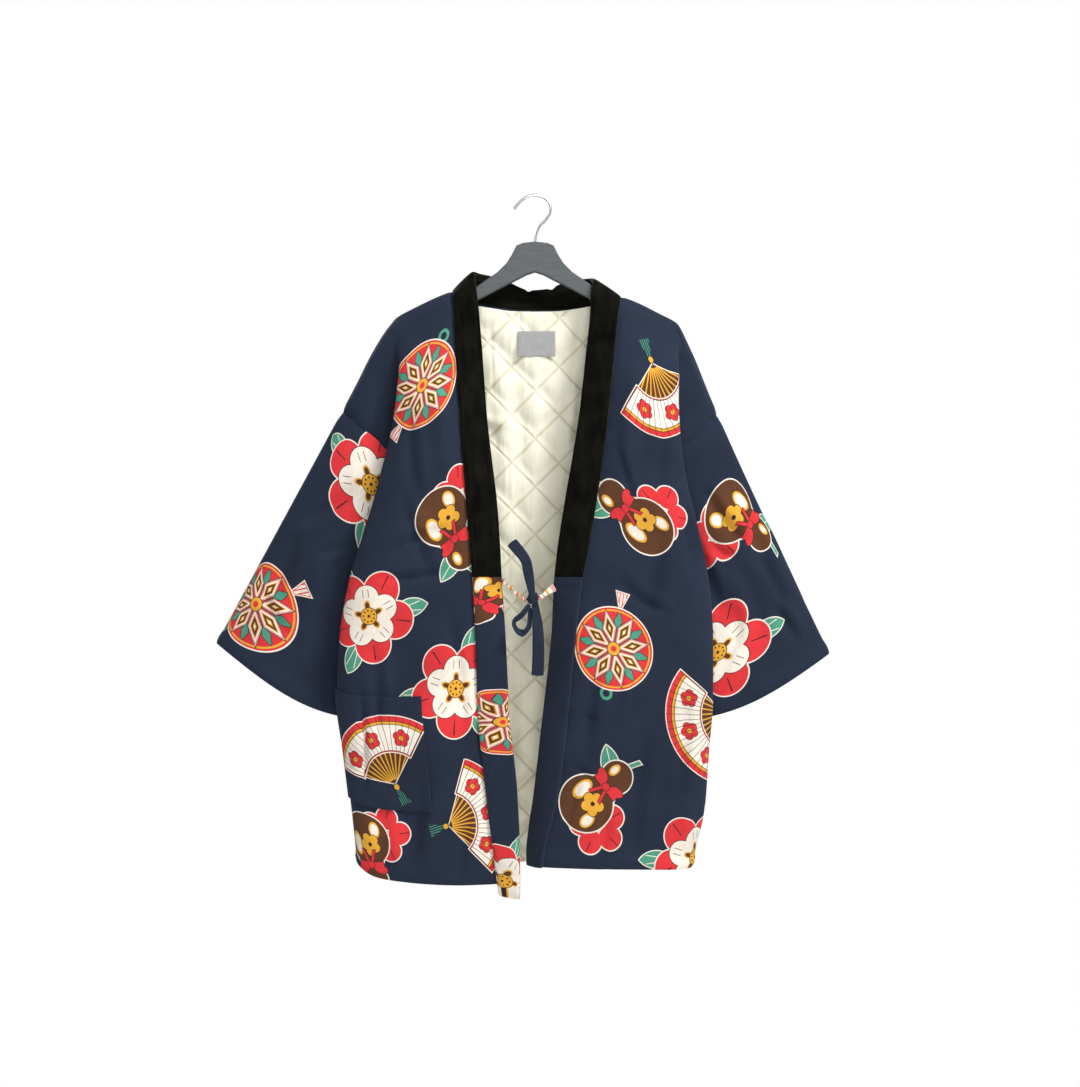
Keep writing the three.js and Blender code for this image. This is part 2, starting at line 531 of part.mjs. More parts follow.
// ---------- ties: knotted in a half bow across the opening ----------
// Each is a run of stations: place, half width across it and the direction that the width lies in.
const ribbon = (stations, thick = RIBBON_THICK) => {
  const path = new THREE.CatmullRomCurve3(stations.map(([x, y, z]) => new THREE.Vector3(x, y, z)));
  const wide = along(range(stations.length), stations.map((s) => s[3]));
  const lean = along(range(stations.length), stations.map((s) => s[4]));
  const count = (stations.length - 1) * 3;
  const edges = range(count + 1).map((i) => {
    const t = i / count;
    const station = t * (stations.length - 1);
    const spot = path.getPoint(t);
    const front = new THREE.Vector3(Math.sin(lean(station)), -Math.cos(lean(station)), 0);
    const aside = path.getTangent(t).cross(front).normalize().multiplyScalar(wide(station) / 2);
    return [spot.clone().sub(aside), spot.clone().add(aside)];
  });
  return strip(edges, thick);
};
const TIES = { // x, y, z, width and lean of each station
  tie_right: [[-45, -70, -556, 9, 0], [-36, -75, -564, 6, 0], [-22, -80, -577, 6, 0], [-13, -83, -583, 6, 0]],
  tie_left: [[27, -54, -566, 12, 0], [18, -66, -572, 8, 0], [11, -76, -577, 6, 0], [6, -81, -580, 6, 0]],
  tie_tail_up: [[-5, -86, -566, 12, 0.1], [-9, -88, -545, 15, 0.3], [-14, -90, -525, 16, 0.5],
    [-32, -90, -502, 16, 0.2]],
  tie_tail_down: [[2, -86, -594, 10, 0], [4, -88, -620, 15, 0.1], [5, -86, -655, 17, -0.1],
    [4, -84, -688, 17.5, 0]],
  tie_loop: [[-8, -91, -590, 7, 0.4], [-18, -93, -603, 9, 0.7], [-29, -92, -613, 10, 1.0],
    [-26, -90, -624, 11, 1.2], [-17, -87, -629, 11, 1.2], [-9, -85, -621, 9, 0.8], [-7, -84, -608, 7, 0.5], [-7, -84.5, -595, 6, 0.3]],
};
const KNOT = { middle: [-3, -86, -580], size: [8.5, 6.5, 9.5], tilt: 0.4 };
const knotPiece = () => new THREE.SphereGeometry(1, 12, 8)
  .scale(...KNOT.size).rotateY(KNOT.tilt).translate(...KNOT.middle);

// ---------- hanger ----------
const HANGER = { thick: 12, reach: 196, bevel: 1.5 };
const hangerBody = () => {
  const outline = new THREE.Shape();
  const bevel = HANGER.bevel;
  // Right half of the top edge from the middle out to the end, then back along the underside.
  const upper = [[0, -66], [18, -68], [27, -72], [33, -84], [41, -97], [54, -110], [83, -130], [100, -145],
    [122, -159], [158, -177], [182, -190]];
  const lower = [[HANGER.reach, -200], [192, -208], [180, -208], [150, -190], [83, -151], [40, -128.5],
    [12, -114], [0, -110]];
  const loop = [...upper, ...lower, ...lower.slice(0, -1).reverse().map(([x, z]) => [-x, z]),
    ...upper.slice(1).reverse().map(([x, z]) => [-x, z])];
  const inset = loop.map(([x, z], i) => {
    const [a, b] = [loop[(i + loop.length - 1) % loop.length], loop[(i + 1) % loop.length]];
    const run = new THREE.Vector2(b[0] - a[0], b[1] - a[1]).normalize();
    return new THREE.Vector2(x + run.y * bevel, z - run.x * bevel);
  });
  outline.setFromPoints(inset);
  return new THREE.ExtrudeGeometry(outline, { depth: HANGER.thick - 2 * bevel, bevelEnabled: true,
    bevelThickness: bevel, bevelSize: bevel, bevelSegments: 1 })
    .translate(0, 0, -(HANGER.thick / 2 - bevel)).rotateX(Math.PI / 2);
};

const WIRE = 4; // diameter of the hook
const HOOK_LINE = [ // x and z of the wire's middle, from the hanger up over the bearing point to its tip
  [0, -65.6], [1, -57], [6, -44], [15, -34.5], [21, -25], [22.5, -16], [19.5, -7], [11, -0.5], [0, WIRE / 2],
  [-11.5, -0.5], [-21.5, -7.5], [-30.5, -18],
];
const hookPiece = () => {
  const path = new THREE.CatmullRomCurve3(HOOK_LINE.map(([x, z]) => new THREE.Vector3(x, 0, z)));
  const round = new THREE.Shape();
  round.absarc(0, 0, WIRE / 2, 0, 2 * Math.PI);
  return new THREE.ExtrudeGeometry(round, { steps: 34, curveSegments: 5, extrudePath: path });
};

// ---------- materials and assembly ----------
const cloth = (color, roughness = 0.95) => new THREE.MeshStandardMaterial({ color, roughness, metalness: 0 });
const navyPrint = cloth('#202a40');
const velvet = cloth('#0e0f0d', 1);
const cream = cloth('#e8e2c8');
const grey = cloth('#b3b2ae');
const blackWood = new THREE.MeshStandardMaterial({ color: '#34373a', roughness: 0.5, metalness: 0 });
const chrome = new THREE.MeshStandardMaterial({ color: '#d5d7d9', roughness: 0.2, metalness: 1 });

const coat = new THREE.Group();
const add = (group, name, geometry, material) => {
  const mesh = new THREE.Mesh(geometry, material);
  mesh.name = name;
  group.add(mesh);
};
['right', 'left'].forEach((side) => {
  add(coat, `body_${side}`, bodyPiece(side), navyPrint);
  add(coat, `sleeve_${side}`, sleevePiece(side), navyPrint);
  add(coat, `band_${side}`, bandPiece(side), navyPrint);
});
add(coat, 'collar_velvet', collarPiece(), velvet);
add(coat, 'pocket', pocketPiece(), navyPrint);
add(coat, 'lining_back', liningPiece(), cream);
add(coat, 'label', labelPiece(), grey);
Object.entries(TIES).forEach(([name, stations]) => add(coat, name, ribbon(stations), navyPrint));
add(coat, 'tie_knot', knotPiece(), navyPrint);

const hanger = new THREE.Group();
add(hanger, 'hanger_body', hangerBody(), blackWood);
add(hanger, 'hanger_hook', hookPiece(), chrome);

const root = new THREE.Group();
root.add(coat, hanger);
export default root;
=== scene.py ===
# A hanten, a padded Japanese house coat with a velvet collar, as it hangs on a flat hanger.
# Places are worked out in millimetres and become metres as each mesh is made. +Z up, the front faces -Y,
# and the wearer's right side is at -X.
import math

import bpy
import numpy as np
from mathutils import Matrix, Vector


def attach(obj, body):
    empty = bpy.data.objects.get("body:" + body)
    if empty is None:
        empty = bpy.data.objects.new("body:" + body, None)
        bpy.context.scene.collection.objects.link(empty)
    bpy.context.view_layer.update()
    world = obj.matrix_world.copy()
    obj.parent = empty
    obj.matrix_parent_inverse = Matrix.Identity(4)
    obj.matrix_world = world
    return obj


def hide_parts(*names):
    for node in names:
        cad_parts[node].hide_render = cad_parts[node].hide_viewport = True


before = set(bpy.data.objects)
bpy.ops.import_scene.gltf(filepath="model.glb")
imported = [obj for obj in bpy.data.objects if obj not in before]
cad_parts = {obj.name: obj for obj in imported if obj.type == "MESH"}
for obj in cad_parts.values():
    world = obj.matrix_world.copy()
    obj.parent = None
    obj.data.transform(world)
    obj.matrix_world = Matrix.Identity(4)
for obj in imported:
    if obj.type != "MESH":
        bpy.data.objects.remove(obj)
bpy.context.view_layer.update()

# ---------- camera ----------
# The coat is looked at straight from the front, from a little below half its height, as for a shop's page.
# The lens is long enough to keep the sleeves in shape and leaves a hand's width of wall all round.
VIEW_FROM = 2.9
VIEW_ACROSS = 0.00725
VIEW_HEIGHT = -0.5032
VIEW_TALL = 1.576  # how much of the coat's own plane the frame takes in from top to bottom
FILM = 36  # mm
lens = bpy.data.cameras.new("lens")
lens.sensor_width = FILM
lens.lens = FILM * VIEW_FROM / VIEW_TALL
viewpoint = bpy.data.objects.new("viewpoint", lens)
viewpoint.location = (VIEW_ACROSS, -VIEW_FROM, VIEW_HEIGHT)
viewpoint.rotation_euler = (math.radians(90), 0, 0)
bpy.context.scene.collection.objects.link(viewpoint)
bpy.context.scene.camera = viewpoint

# ---------- coat halves ----------
# Each half of the coat is one length of printed cotton over wadding, cut without a shoulder seam: it comes
# up the front, over the hanger and down the back. Its dropped shoulder tucks in behind the fold that hangs
# off the hanger's end. The two halves are joined down the centre of the back.
MM = 0.001
PADDED = 5  # cotton, wadding and the inner cotton together
SEAM_GAP = 0.4
SHOULDER_ROLL = 12  # radius of the turn over the shoulder
ARMHOLE = 240  # from the shoulder to the underarm
ARMHOLE_HALF = 17
SIDE_SEAM_HALF = 0.6
FRONT_LONG = 770  # from the shoulder to the hem, along the cloth
BACK_LONG = 790
BACK_HEM_Z = -970
BACK_FOLD_RISE = 4
NECK_DROP = 34
NECK_DEEP = 30  # how far the neck lies behind the hanger's plane
CENTRE_BACK_Z = -162
CENTRE_BACK_DEEP = 44
FOLD_TURN = 8  # the front lies flat up to this far from its fold
WAVE_DEEP = 3.2
SIDES = {
    "right": {"sign": -1, "shoulder": [-136, -148, -162, -174, -183],
              "hem_seam": -985, "hem_fold": -957, "sag": 18},
    "left": {"sign": 1, "shoulder": [-144, -155, -169, -180, -188],
             "hem_seam": -961, "hem_fold": -963, "sag": 1},
}


def smooth(at, values):
    """A curve through the values that never swings past them."""
    slope = np.diff(values) / np.diff(at)
    same_way = slope[:-1] * slope[1:] > 0
    both = np.where(same_way, slope[:-1] + slope[1:], 1)
    inner = np.where(same_way, 2 * slope[:-1] * slope[1:] / both, 0)
    tangent = np.concatenate([slope[:1], inner, slope[-1:]])

    def curve(x):
        x = np.asarray(x, float)
        i = np.clip(np.searchsorted(at, x, side="left") - 1, 0, len(at) - 2)
        wide = at[i + 1] - at[i]
        t = np.clip((x - at[i]) / wide, 0, 1)
        back = 1 - t
        return (back**2 * (1 + 2 * t) * values[i] + back**2 * t * wide * tangent[i]
                + t**2 * (3 - 2 * t) * values[i + 1] - t**2 * back * wide * tangent[i + 1])

    return curve


def curves(names, rows):
    """One smooth curve for each named column, over the first column."""
    names = names.split()
    held = np.array(rows, float).T
    return {name: smooth(held[0], held[k]) for k, name in enumerate(names) if k}


# Distances out from the coat's middle for each course down the cloth: the fold off the hanger's end, the
# cloth just past it, the inside of the tuck, the dropped shoulder and the armhole or side seam. The last
# two columns are what the left half has more than the right at its fold and at its end.
ACROSS = curves("down fold after tuck drop end fold_left end_left", [
    [0, 207, 220, 239, 260, 281, 2, -15],
    [20, 203, 214, 230, 249, 268, 5, -14],
    [40, 196, 203, 214, 236, 257, 9, -12],
    [70, 195, 190, 188, 210, 236, 12, -10],
    [110, 198, 184, 172, 188, 209, 8, -8],
    [150, 203, 187, 166, 176, 189, 3, -6],
    [195, 212, 196, 172, 168, 172, -1, -6],
    [240, 224, 208, 183, 168, 160, -5, -6],
    [300, 242, 226, 196, 168, 156, -10, -8],
    [370, 264, 248, 214, 178, 161, -16, -12],
    [450, 278, 262, 228, 190, 172, -24, -16],
    [530, 282, 266, 234, 200, 182, -28, -18],
    [610, 272, 256, 228, 200, 184, -24, -18],
    [690, 262, 246, 218, 192, 178, -20, -18],
    [790, 251, 235, 206, 182, 170, -32, -20],
])
# How far each of those lies below the fold, and how far the cloth stands from the hanger's plane.
DEPTH = curves("down after_lag tuck_lag drop_lag end_lag front front_round back back_round tuck drop", [
    [0, 17, 49, 91, 131, 0, 1, 0, 1, 0, 0],
    [20, 17, 46, 86, 125, 12, 1, 12, 1, 12, 12],
    [40, 14, 42, 80, 115, 23, 5, 22, 4.5, 13, 14],
    [70, 8, 30, 67, 101, 38, 9, 35, 8, 16, 15.5],
    [110, 5, 22, 54, 83, 48, 12, 43, 10, 21, 16.5],
    [150, 4, 19, 44, 66, 54, 13, 48, 11, 25, 17.5],
    [195, 3, 14, 34, 53, 59, 14.5, 51, 12, 26, 20],
    [240, 2, 11, 28, 46, 62, 16, 53, 13, 26, 22],
    [300, 2, 8, 18, 30, 64, 16, 53, 13, 26, 23],
    [370, 0, 4, 12, 20, 65, 16, 53, 13, 26, 23],
    [530, 0, 0, 3, 6, 67, 16, 54, 13, 27, 24],
    [790, 0, 0, 0, 0, 66, 16, 55, 13, 28, 24],
])
# The collar band by height: its sewn and its free edge, how far each stands forward, and the free one's
# lift.
BANDS = {
    "right": curves("z sewn free sewn_out free_out lift", [
        [-989, 52, 21, 62, 70, -4],
        [-949, 57, 21, 65, 74, 0],
        [-852, 69, 25, 68, 78, 0],
        [-755, 79, 35, 68, 76, 0],
        [-624, 84, 42, 67, 70, 0],
        [-551, 88, 47, 65, 62, 0],
        [-467, 95, 52, 59, 49, 0],
        [-325, 106, 69, 46, 30, 2],
        [-224, 113, 77, 32, 17, 6],
        [-170, 116, 82, 21, 15, 12],
        [-152, 116.5, 85, 16, 18, 20],
        [-144, 117, 86.5, 10, 14, 24],
        [-138.5, 117, 88, 0, 8, 27],
    ]),
    "left": curves("z sewn free sewn_out free_out lift", [
        [-965, 9, -11, 64, 34, 0],
        [-949, 11, -11, 65, 34, 0],
        [-852, 33, 0, 67, 40, 0],
        [-755, 45, 11, 67, 40, 0],
        [-624, 58, 25, 66, 38, 0],
        [-551, 67, 28, 64, 44, 0],
        [-467, 83, 39, 58, 44, 0],
        [-325, 103, 63, 45, 29, 2],
        [-224, 113, 75, 31, 17, 6],
        [-172, 119, 80, 21, 15, 11],
        [-161, 121, 80, 16, 19, 16],
        [-153, 121.5, 81.5, 10, 14, 20],
        [-147.5, 122, 83, 0, 8, 24],
    ]),
}


def spot(side, out, depth, z):
    return np.stack(np.broadcast_arrays(SIDES[side]["sign"] * out, depth, z), axis=-1)


def lerp(a, b, t):
    return a + (b - a) * t


def eased(down, start, long):
    """From 0 to 1 over a stretch of cloth, slowly at both of its ends."""
    t = np.clip((down - start) / long, 0, 1)
    return t * t * (3 - 2 * t)


def drop_of(down):
    """How far the cloth has come down once it has turned over the shoulder."""
    turned = SHOULDER_ROLL * (1 - np.cos(np.minimum(down / SHOULDER_ROLL, math.pi / 2)))
    return np.where(down < SHOULDER_ROLL * math.pi / 2, turned, down - SHOULDER_ROLL * (math.pi / 2 - 1))


def roll_of(down):
    """How far it has come away from the hanger's plane on that turn."""
    return SHOULDER_ROLL * np.sin(np.minimum(down / SHOULDER_ROLL, math.pi / 2))


def fold_height(side, face, down):
    long, hem = FRONT_LONG, SIDES[side]["hem_fold"]
    if face == "back":
        long, hem = BACK_LONG, BACK_HEM_Z + BACK_FOLD_RISE
    top = SIDES[side]["shoulder"][4]
    return top + (hem - top) * drop_of(down) / drop_of(long)


def armhole_out(share):
    """Half the armhole's width at a share of its height."""
    return np.maximum(ARMHOLE_HALF * np.sqrt(np.maximum(0, 1 - np.abs(2 * share - 1) ** 3)), SIDE_SEAM_HALF)


def seam_edge(side, face, down):
    """The armhole above the underarm and the side seam below it."""
    left = ACROSS["end_left"](down) if side == "left" else 0
    out = np.where(down <= ARMHOLE, armhole_out(np.minimum(down / ARMHOLE, 1)), SIDE_SEAM_HALF)
    return spot(side, ACROSS["end"](down) + left, -out if face == "front" else out,
                fold_height(side, face, down) - DEPTH["end_lag"](down))


def start_edge(side, face, down):
    """Where a course starts: at the band in front, and at the neck or the centre back seam behind."""
    top = SIDES[side]["shoulder"][0]
    band = BANDS[side]
    if face == "front":
        z = top + (SIDES[side]["hem_seam"] - top) * drop_of(down) / drop_of(FRONT_LONG)
        rolled_in = np.maximum(0, band["sewn_out"](z) - band["free_out"](z))
        out = band["sewn"](z) + SEAM_GAP + np.maximum(0.1, 0.4 - down / 100) + rolled_in * 0.05
        return spot(side, out, -np.maximum(band["sewn_out"](z), 0.8 * roll_of(down)), z)
    neck = band["sewn"](top) + 2 * SEAM_GAP
    turn = np.minimum(down / NECK_DROP, 1) * math.pi / 2
    share = np.maximum(0, (down - NECK_DROP) / (BACK_LONG - NECK_DROP))
    past_neck = down >= NECK_DROP
    out = np.where(past_neck, SEAM_GAP / 2, np.maximum(neck * np.cos(turn), SEAM_GAP / 2))
    straight = lerp(NECK_DEEP, CENTRE_BACK_DEEP, np.minimum(1, share * 5))
    depth = np.where(past_neck, straight, NECK_DEEP * np.sin(turn))
    z = np.where(past_neck, lerp(CENTRE_BACK_Z, BACK_HEM_Z, share),
                 lerp(top, CENTRE_BACK_Z, np.sin(turn) ** 1.4))
    return spot(side, out, depth, z)


def hang_wave(face, out, down):
    """The slow waves that the cloth falls into towards its hem."""
    wave = np.sin(out / 21 + down / 260) if face == "front" else np.sin(out / 26 + 0.8 + down / 420)
    return WAVE_DEEP * eased(down, 120, 640) * wave


def courses(side, face, down):
    """The nine points that shape each course of cloth, from its start to the armhole or side seam."""
    facing = -1 if face == "front" else 1
    wrapped = down < 20
    rolled = roll_of(down)
    deep = np.minimum(DEPTH[face](down), np.where(wrapped, rolled, 99))
    curl = DEPTH[face + "_round"](down)
    drawn_in = 0 if face == "front" else 5 * eased(down, 60, 140)

    def shift(share):
        on_left = lerp(ACROSS["fold_left"](down), ACROSS["end_left"](down), share)
        return (side == "left") * on_left - drawn_in * (1 - share)

    fold = ACROSS["fold"](down) + shift(0)
    turned = fold - FOLD_TURN - curl
    z = fold_height(side, face, down)
    start = start_edge(side, face, down)
    shoulder = SIDES[side]["shoulder"]
    sag = SIDES[side]["sag"] * (down / FRONT_LONG) ** 2 if face == "front" else 0
    near_top = np.maximum(0, 1 - down / 160)

    def flat(share, i):
        out = lerp(np.abs(start[:, 0]), turned, share)
        bow = 5 * math.sin(math.pi * share) * np.minimum(1, down / 200)
        depth = lerp(np.abs(start[:, 1]), deep, share) + bow
        level = np.where((face == "back") & (down > 0), np.minimum(1, down / 400) * share, 0)
        height = lerp(shoulder[i], shoulder[4], level)
        drop = lerp(start[:, 2], z, share) + (height - lerp(shoulder[0], shoulder[4], share)) * near_top
        return spot(side, out, facing * (depth + hang_wave(face, out, down)),
                    drop - sag * math.sin(math.pi * share**1.6))

    def past(name, share, out):
        return spot(side, ACROSS[name](down) + shift(share), facing * np.where(wrapped, rolled, out),
                    z - DEPTH[name + "_lag"](down))

    rise = shoulder[3] - lerp(shoulder[0], shoulder[4], 0.94)
    knee_z = lerp(start[:, 2], z, 0.94) - sag * 0.8 + rise * near_top
    return np.stack([
        start, flat(0.36, 1), flat(0.72, 2),
        spot(side, turned, facing * deep, knee_z),
        spot(side, fold, facing * np.where(wrapped, rolled, deep - curl), z),
        past("after", 0.25, np.maximum(deep - 2 * curl, DEPTH["tuck"](down))),
        past("tuck", 0.5, DEPTH["tuck"](down)),
        past("drop", 0.75, DEPTH["drop"](down)),
        seam_edge(side, face, down),
    ], axis=1)


def through(points, steps):
    """A smooth line through each row of points, read at the steps: 0 is its first point, 1 its second."""
    first = 2 * points[:, :1] - points[:, 1:2]
    last = 2 * points[:, -1:] - points[:, -2:-1]
    held = np.concatenate([first, points, last], axis=1)
    i = np.minimum(np.floor(steps).astype(int), points.shape[1] - 2)
    t = (steps - i)[None, :, None]
    a, b, c, d = (held[:, i + k] for k in range(4))
    return b + 0.5 * t * (c - a + t * (2 * a - 5 * b + 4 * c - d + t * (3 * (b - c) + d - a)))


def unit(v):
    return v / np.maximum(np.linalg.norm(v, axis=-1, keepdims=True), 1e-12)


def outward(grid, facing, closed=False):
    """Directions square to a grid of points; a closed grid's last column is its first."""
    across = np.gradient(grid, axis=1)
    if closed:
        across[:, 0] = across[:, -1] = grid[:, 1] - grid[:, -2]
    return facing * unit(np.cross(across, np.gradient(grid, axis=0)))


def made_mesh(name, points, quads, flat):
    """An object from points in millimetres. flat is each point's place on the cloth before it was hung."""
    _, first, same = np.unique(np.round(points, 4), axis=0, return_index=True, return_inverse=True)
    same = same.reshape(-1)
    merged, faces, kept = [], [], []
    for k, quad in enumerate(quads[:, ::-1]):
        corners = dict(zip(same[quad].tolist(), quad.tolist()))
        if len(corners) > 2:
            merged.append(list(corners)[::-1])
            faces.append(list(corners.values())[::-1])
            kept.append(k)
    spots = points[first] * MM
    volume = sum(np.dot(spots[f[0]], np.cross(spots[f[1]], spots[f[2]])) for f in merged)
    volume += sum(np.dot(spots[f[0]], np.cross(spots[f[2]], spots[f[3]])) for f in merged if len(f) == 4)
    if volume < 0:
        merged, faces = [f[::-1] for f in merged], [f[::-1] for f in faces]
    mesh = bpy.data.meshes.new(name)
    mesh.from_pydata(spots.tolist(), [], merged)
    corners = np.array([c for face in faces for c in face])
    layer = mesh.uv_layers.new(name="cloth")
    layer.data.foreach_set("uv", (flat[corners] * MM).astype(np.float32).ravel())
    mesh.polygons.foreach_set("use_smooth", np.ones(len(merged), bool))
    piece = bpy.data.objects.new(name, mesh)
    bpy.context.scene.collection.objects.link(piece)
    return piece, np.array(kept)


ROUNDING = 3  # rings of points round each soft edge


def doubled(outer, inner, half, flat):
    """Each row goes out along the outer side, round a soft edge and back along the inner side."""
    turns = np.radians(np.linspace(45, 135, ROUNDING))
    middle = (outer + inner) / 2

    def edge(column, beyond, angles):
        away = unit(outer[:, column] - outer[:, beyond])
        return [middle[:, column] + (outer[:, column] - middle[:, column]) * math.cos(a)
                + away * half * math.sin(a) for a in angles]

    rings = [*np.moveaxis(outer, 1, 0), *edge(-1, -2, turns), *np.moveaxis(inner[:, ::-1], 1, 0),
             *edge(0, 1, turns[::-1])]
    flats = [flat, *[flat[:, -1:]] * ROUNDING, flat[:, ::-1], *[flat[:, :1]] * ROUNDING]
    return np.stack(rings, axis=1), np.concatenate(flats, axis=1)


def grid_quads(rows, columns, closed=False):
    """The corners of each face between the rows of a grid; a closed one goes on from its last column."""
    i, j = np.meshgrid(np.arange(rows - 1), np.arange(columns if closed else columns - 1), indexing="ij")
    k = (j + 1) % columns
    corners = [i * columns + j, i * columns + k, (i + 1) * columns + k, (i + 1) * columns + j]
    return np.stack(corners, -1).reshape(-1, 4)


def padded_shell(name, outer, thick, facing, flat, closed=False):
    """Cloth of one thickness with soft edges, and which faces lie on its inner side."""
    inner = outer - outward(outer, facing, closed) * thick
    if closed:
        outer, inner, flat = (np.moveaxis(a, 1, 0) for a in (outer, inner, flat))
    half = thick / 2
    n = outer.shape[1]
    rings, flats = doubled(outer, inner, half, flat)
    if not closed:
        line = np.concatenate([np.arange(n), [n - 1] * ROUNDING, np.arange(n)[::-1], [0] * ROUNDING])
        caps = []
        for row, beyond in ((0, 1), (-1, -2)):
            middle = ((outer[row] + inner[row]) / 2)[line]
            away = unit(outer[row] - outer[beyond])[line] * half
            caps.append([middle + (rings[row] - middle) * math.cos(a) + away * math.sin(a)
                         for a in np.radians(np.linspace(90, 30, ROUNDING))])
        rings = np.concatenate([caps[0], rings, caps[1][::-1]])
        flats = np.concatenate([[flats[0]] * ROUNDING, flats, [flats[-1]] * ROUNDING])
    quads = grid_quads(*rings.shape[:2], True)
    piece, kept = made_mesh(name, rings.reshape(-1, 3), quads, flats.reshape(-1, 2))
    column = np.tile(np.arange(rings.shape[1]), rings.shape[0] - 1)
    inside = ((column > n + ROUNDING) & (column <= 2 * n))[kept]  # the print turns in over both edges
    return piece, inside


# How many columns of faces lie between each two of a course's nine points.
BODY_COLUMNS = [14, 14, 9, 6, 6, 7, 7, 6]
BODY_STEPS = np.array([i + k / count for i, count in enumerate(BODY_COLUMNS) for k in range(count)] + [8])


def downs(long):
    """Distances down the cloth: close together on the shoulder's turn, then 5 mm apart."""
    return np.concatenate([np.arange(0, 24, 2), np.linspace(24, long, round((long - 24) / 5) + 1)])


def body_grid(side):
    """A half coat from its front hem over the shoulder to its back hem, and its place on the flat cloth."""
    front = through(courses(side, "front", downs(FRONT_LONG)[:0:-1]), BODY_STEPS)
    back = through(courses(side, "back", downs(BACK_LONG)[1:]), BODY_STEPS)
    ridge = through(courses(side, "front", np.array([0.0])), BODY_STEPS)
    grid = np.concatenate([front, ridge, back])
    far = np.concatenate([-downs(FRONT_LONG)[:0:-1], [0], downs(BACK_LONG)[1:]])
    run = np.cumsum(np.linalg.norm(np.diff(grid, axis=1), axis=2), axis=1)
    across = np.concatenate([np.zeros((len(grid), 1)), run], axis=1) + np.abs(grid[:, :1, 0])
    return grid, np.stack([across, np.broadcast_to(far[:, None], across.shape)], axis=-1)


def ridden(piece, slot, *nodes):
    """Hangs a piece on the one body, in place of its plain solid."""
    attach(piece, "root")
    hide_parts(*nodes)


def colour(code):
    """An sRGB hex colour in the linear light that shaders take."""
    parts = [int(code[k:k + 2], 16) / 255 for k in (1, 3, 5)]
    return tuple(c / 12.92 if c <= 0.04045 else ((c + 0.055) / 1.055) ** 2.4 for c in parts) + (1.0,)


class Worked:
    """What a node puts out. Every sign and word of a formula about it adds one more Math node."""

    def __init__(self, made, out=0):
        self.made = made
        self.out = out
        self.tree = made.id_data

    def __getitem__(self, out):
        return Worked(self.made, out)


def node(tree, kind, links=None, **settings):
    """Adds a node with its settings; each input is linked to something worked out or set to a value."""
    made = tree.nodes.new("ShaderNode" + kind)
    for name, value in settings.items():
        setattr(made, name, value)
    for place, value in (links or {}).items():
        if isinstance(value, Worked):
            tree.links.new(value.made.outputs[value.out], made.inputs[place])
        else:
            made.inputs[place].default_value = value
    return Worked(made)


def word(kind):
    """A sign or word of the formulas, by the kind of Math that it stands for."""
    def used(*values):
        tree = next(value.tree for value in values if isinstance(value, Worked))
        return node(tree, "Math", dict(enumerate(values)), operation=kind)

    return used


SIGNS = {"add": "ADD", "sub": "SUBTRACT", "mul": "MULTIPLY", "truediv": "DIVIDE", "mod": "FLOORED_MODULO"}
for sign, kind in SIGNS.items():
    setattr(Worked, f"__{sign}__", word(kind))
    setattr(Worked, f"__r{sign}__", lambda last, first, used=word(kind): used(first, last))
Worked.__abs__ = word("ABSOLUTE")
sin, cos, root = word("SINE"), word("COSINE"), word("SQRT")
least, most, bearing = word("MINIMUM"), word("MAXIMUM"), word("ARCTAN2")

NAVY = "#1c2536"
CREAM = "#e3dacd"
RED = "#cd3135"
GOLD = "#d79d33"
BROWN = "#55341f"
GREEN = "#488f76"
LINE = "#2a1d1a"


def inked(ground, layers):
    """Screen prints a ground. Each layer is a shape, as the distance to it in mm, below zero inside it,
    then its ink and, where it has one, the ink and width of a line round it."""
    for shape, ink, *line in layers:
        steps = [(shape, line[0]), (shape + line[1], ink)] if line else [(shape, ink)]
        for distance, tint in steps:
            cover = node(shape.tree, "MapRange", {"Value": distance, "From Min": 0.2, "From Max": -0.2})
            ground = node(shape.tree, "Mix", {0: cover, 6: ground, 7: colour(tint)}, data_type="RGBA")[2]
    return ground


def off(x, y):
    """The distance from the spot where x and y are both zero."""
    return root(x * x + y * y)


def petals(r, a, count, turn, reach, size):
    """Round petals set about a centre: the distance to them, and places along and across the nearest."""
    half = math.pi / count
    fold = abs((a + turn) % (2 * half) - half)
    px, py = r * cos(fold) - reach, r * sin(fold)
    return off(px, py) - size, px, py


def pointed_leaf(px, py, half_long, half_wide):
    """A leaf along px, between two arcs."""
    bow = (half_long**2 + half_wide**2) / (2 * half_wide)
    return off(px, abs(py) + (bow - half_wide)) - bow


def camellia(x, y):
    """A cream camellia on a larger red one, with a gold heart and three leaves."""
    r, a = off(x, y), bearing(y, x)
    _, px, py = petals(r, a, 3, 0.5, 54, 1)
    leaf = pointed_leaf(px, py, 24, 12)
    veins = most(abs(abs(py) - 0.14 * (px + 25)) - 0.5, leaf + 3)
    outer, px, py = petals(r, a, 5, 0.2, 35, 24)
    outer_crease = most(abs(py) - 0.5 - 0.02 * px, abs(px - 10) - 9)
    inner, px, py = petals(r, a, 5, 0.2 + math.pi / 5, 22, 17)
    blush = root((px + 9) * (px + 9) + py * py * 2.6) - 6.5
    inner_creases = most(abs(abs(py) - 3.6) - 0.4, abs(px - 6) - 5)
    stamens, _, _ = petals(r, a, 9, 0, 7, 1.1)
    return [
        (leaf, GREEN, CREAM, 1.3), (veins, CREAM), (outer, RED, CREAM, 1.5), (outer_crease, LINE),
        (inner, CREAM, LINE, 0.9), (blush, BROWN, GOLD, 2.2), (inner_creases, LINE),
        (r - 11, GOLD, LINE, 0.9), (stamens, LINE), (r - 1.8, LINE),
    ]


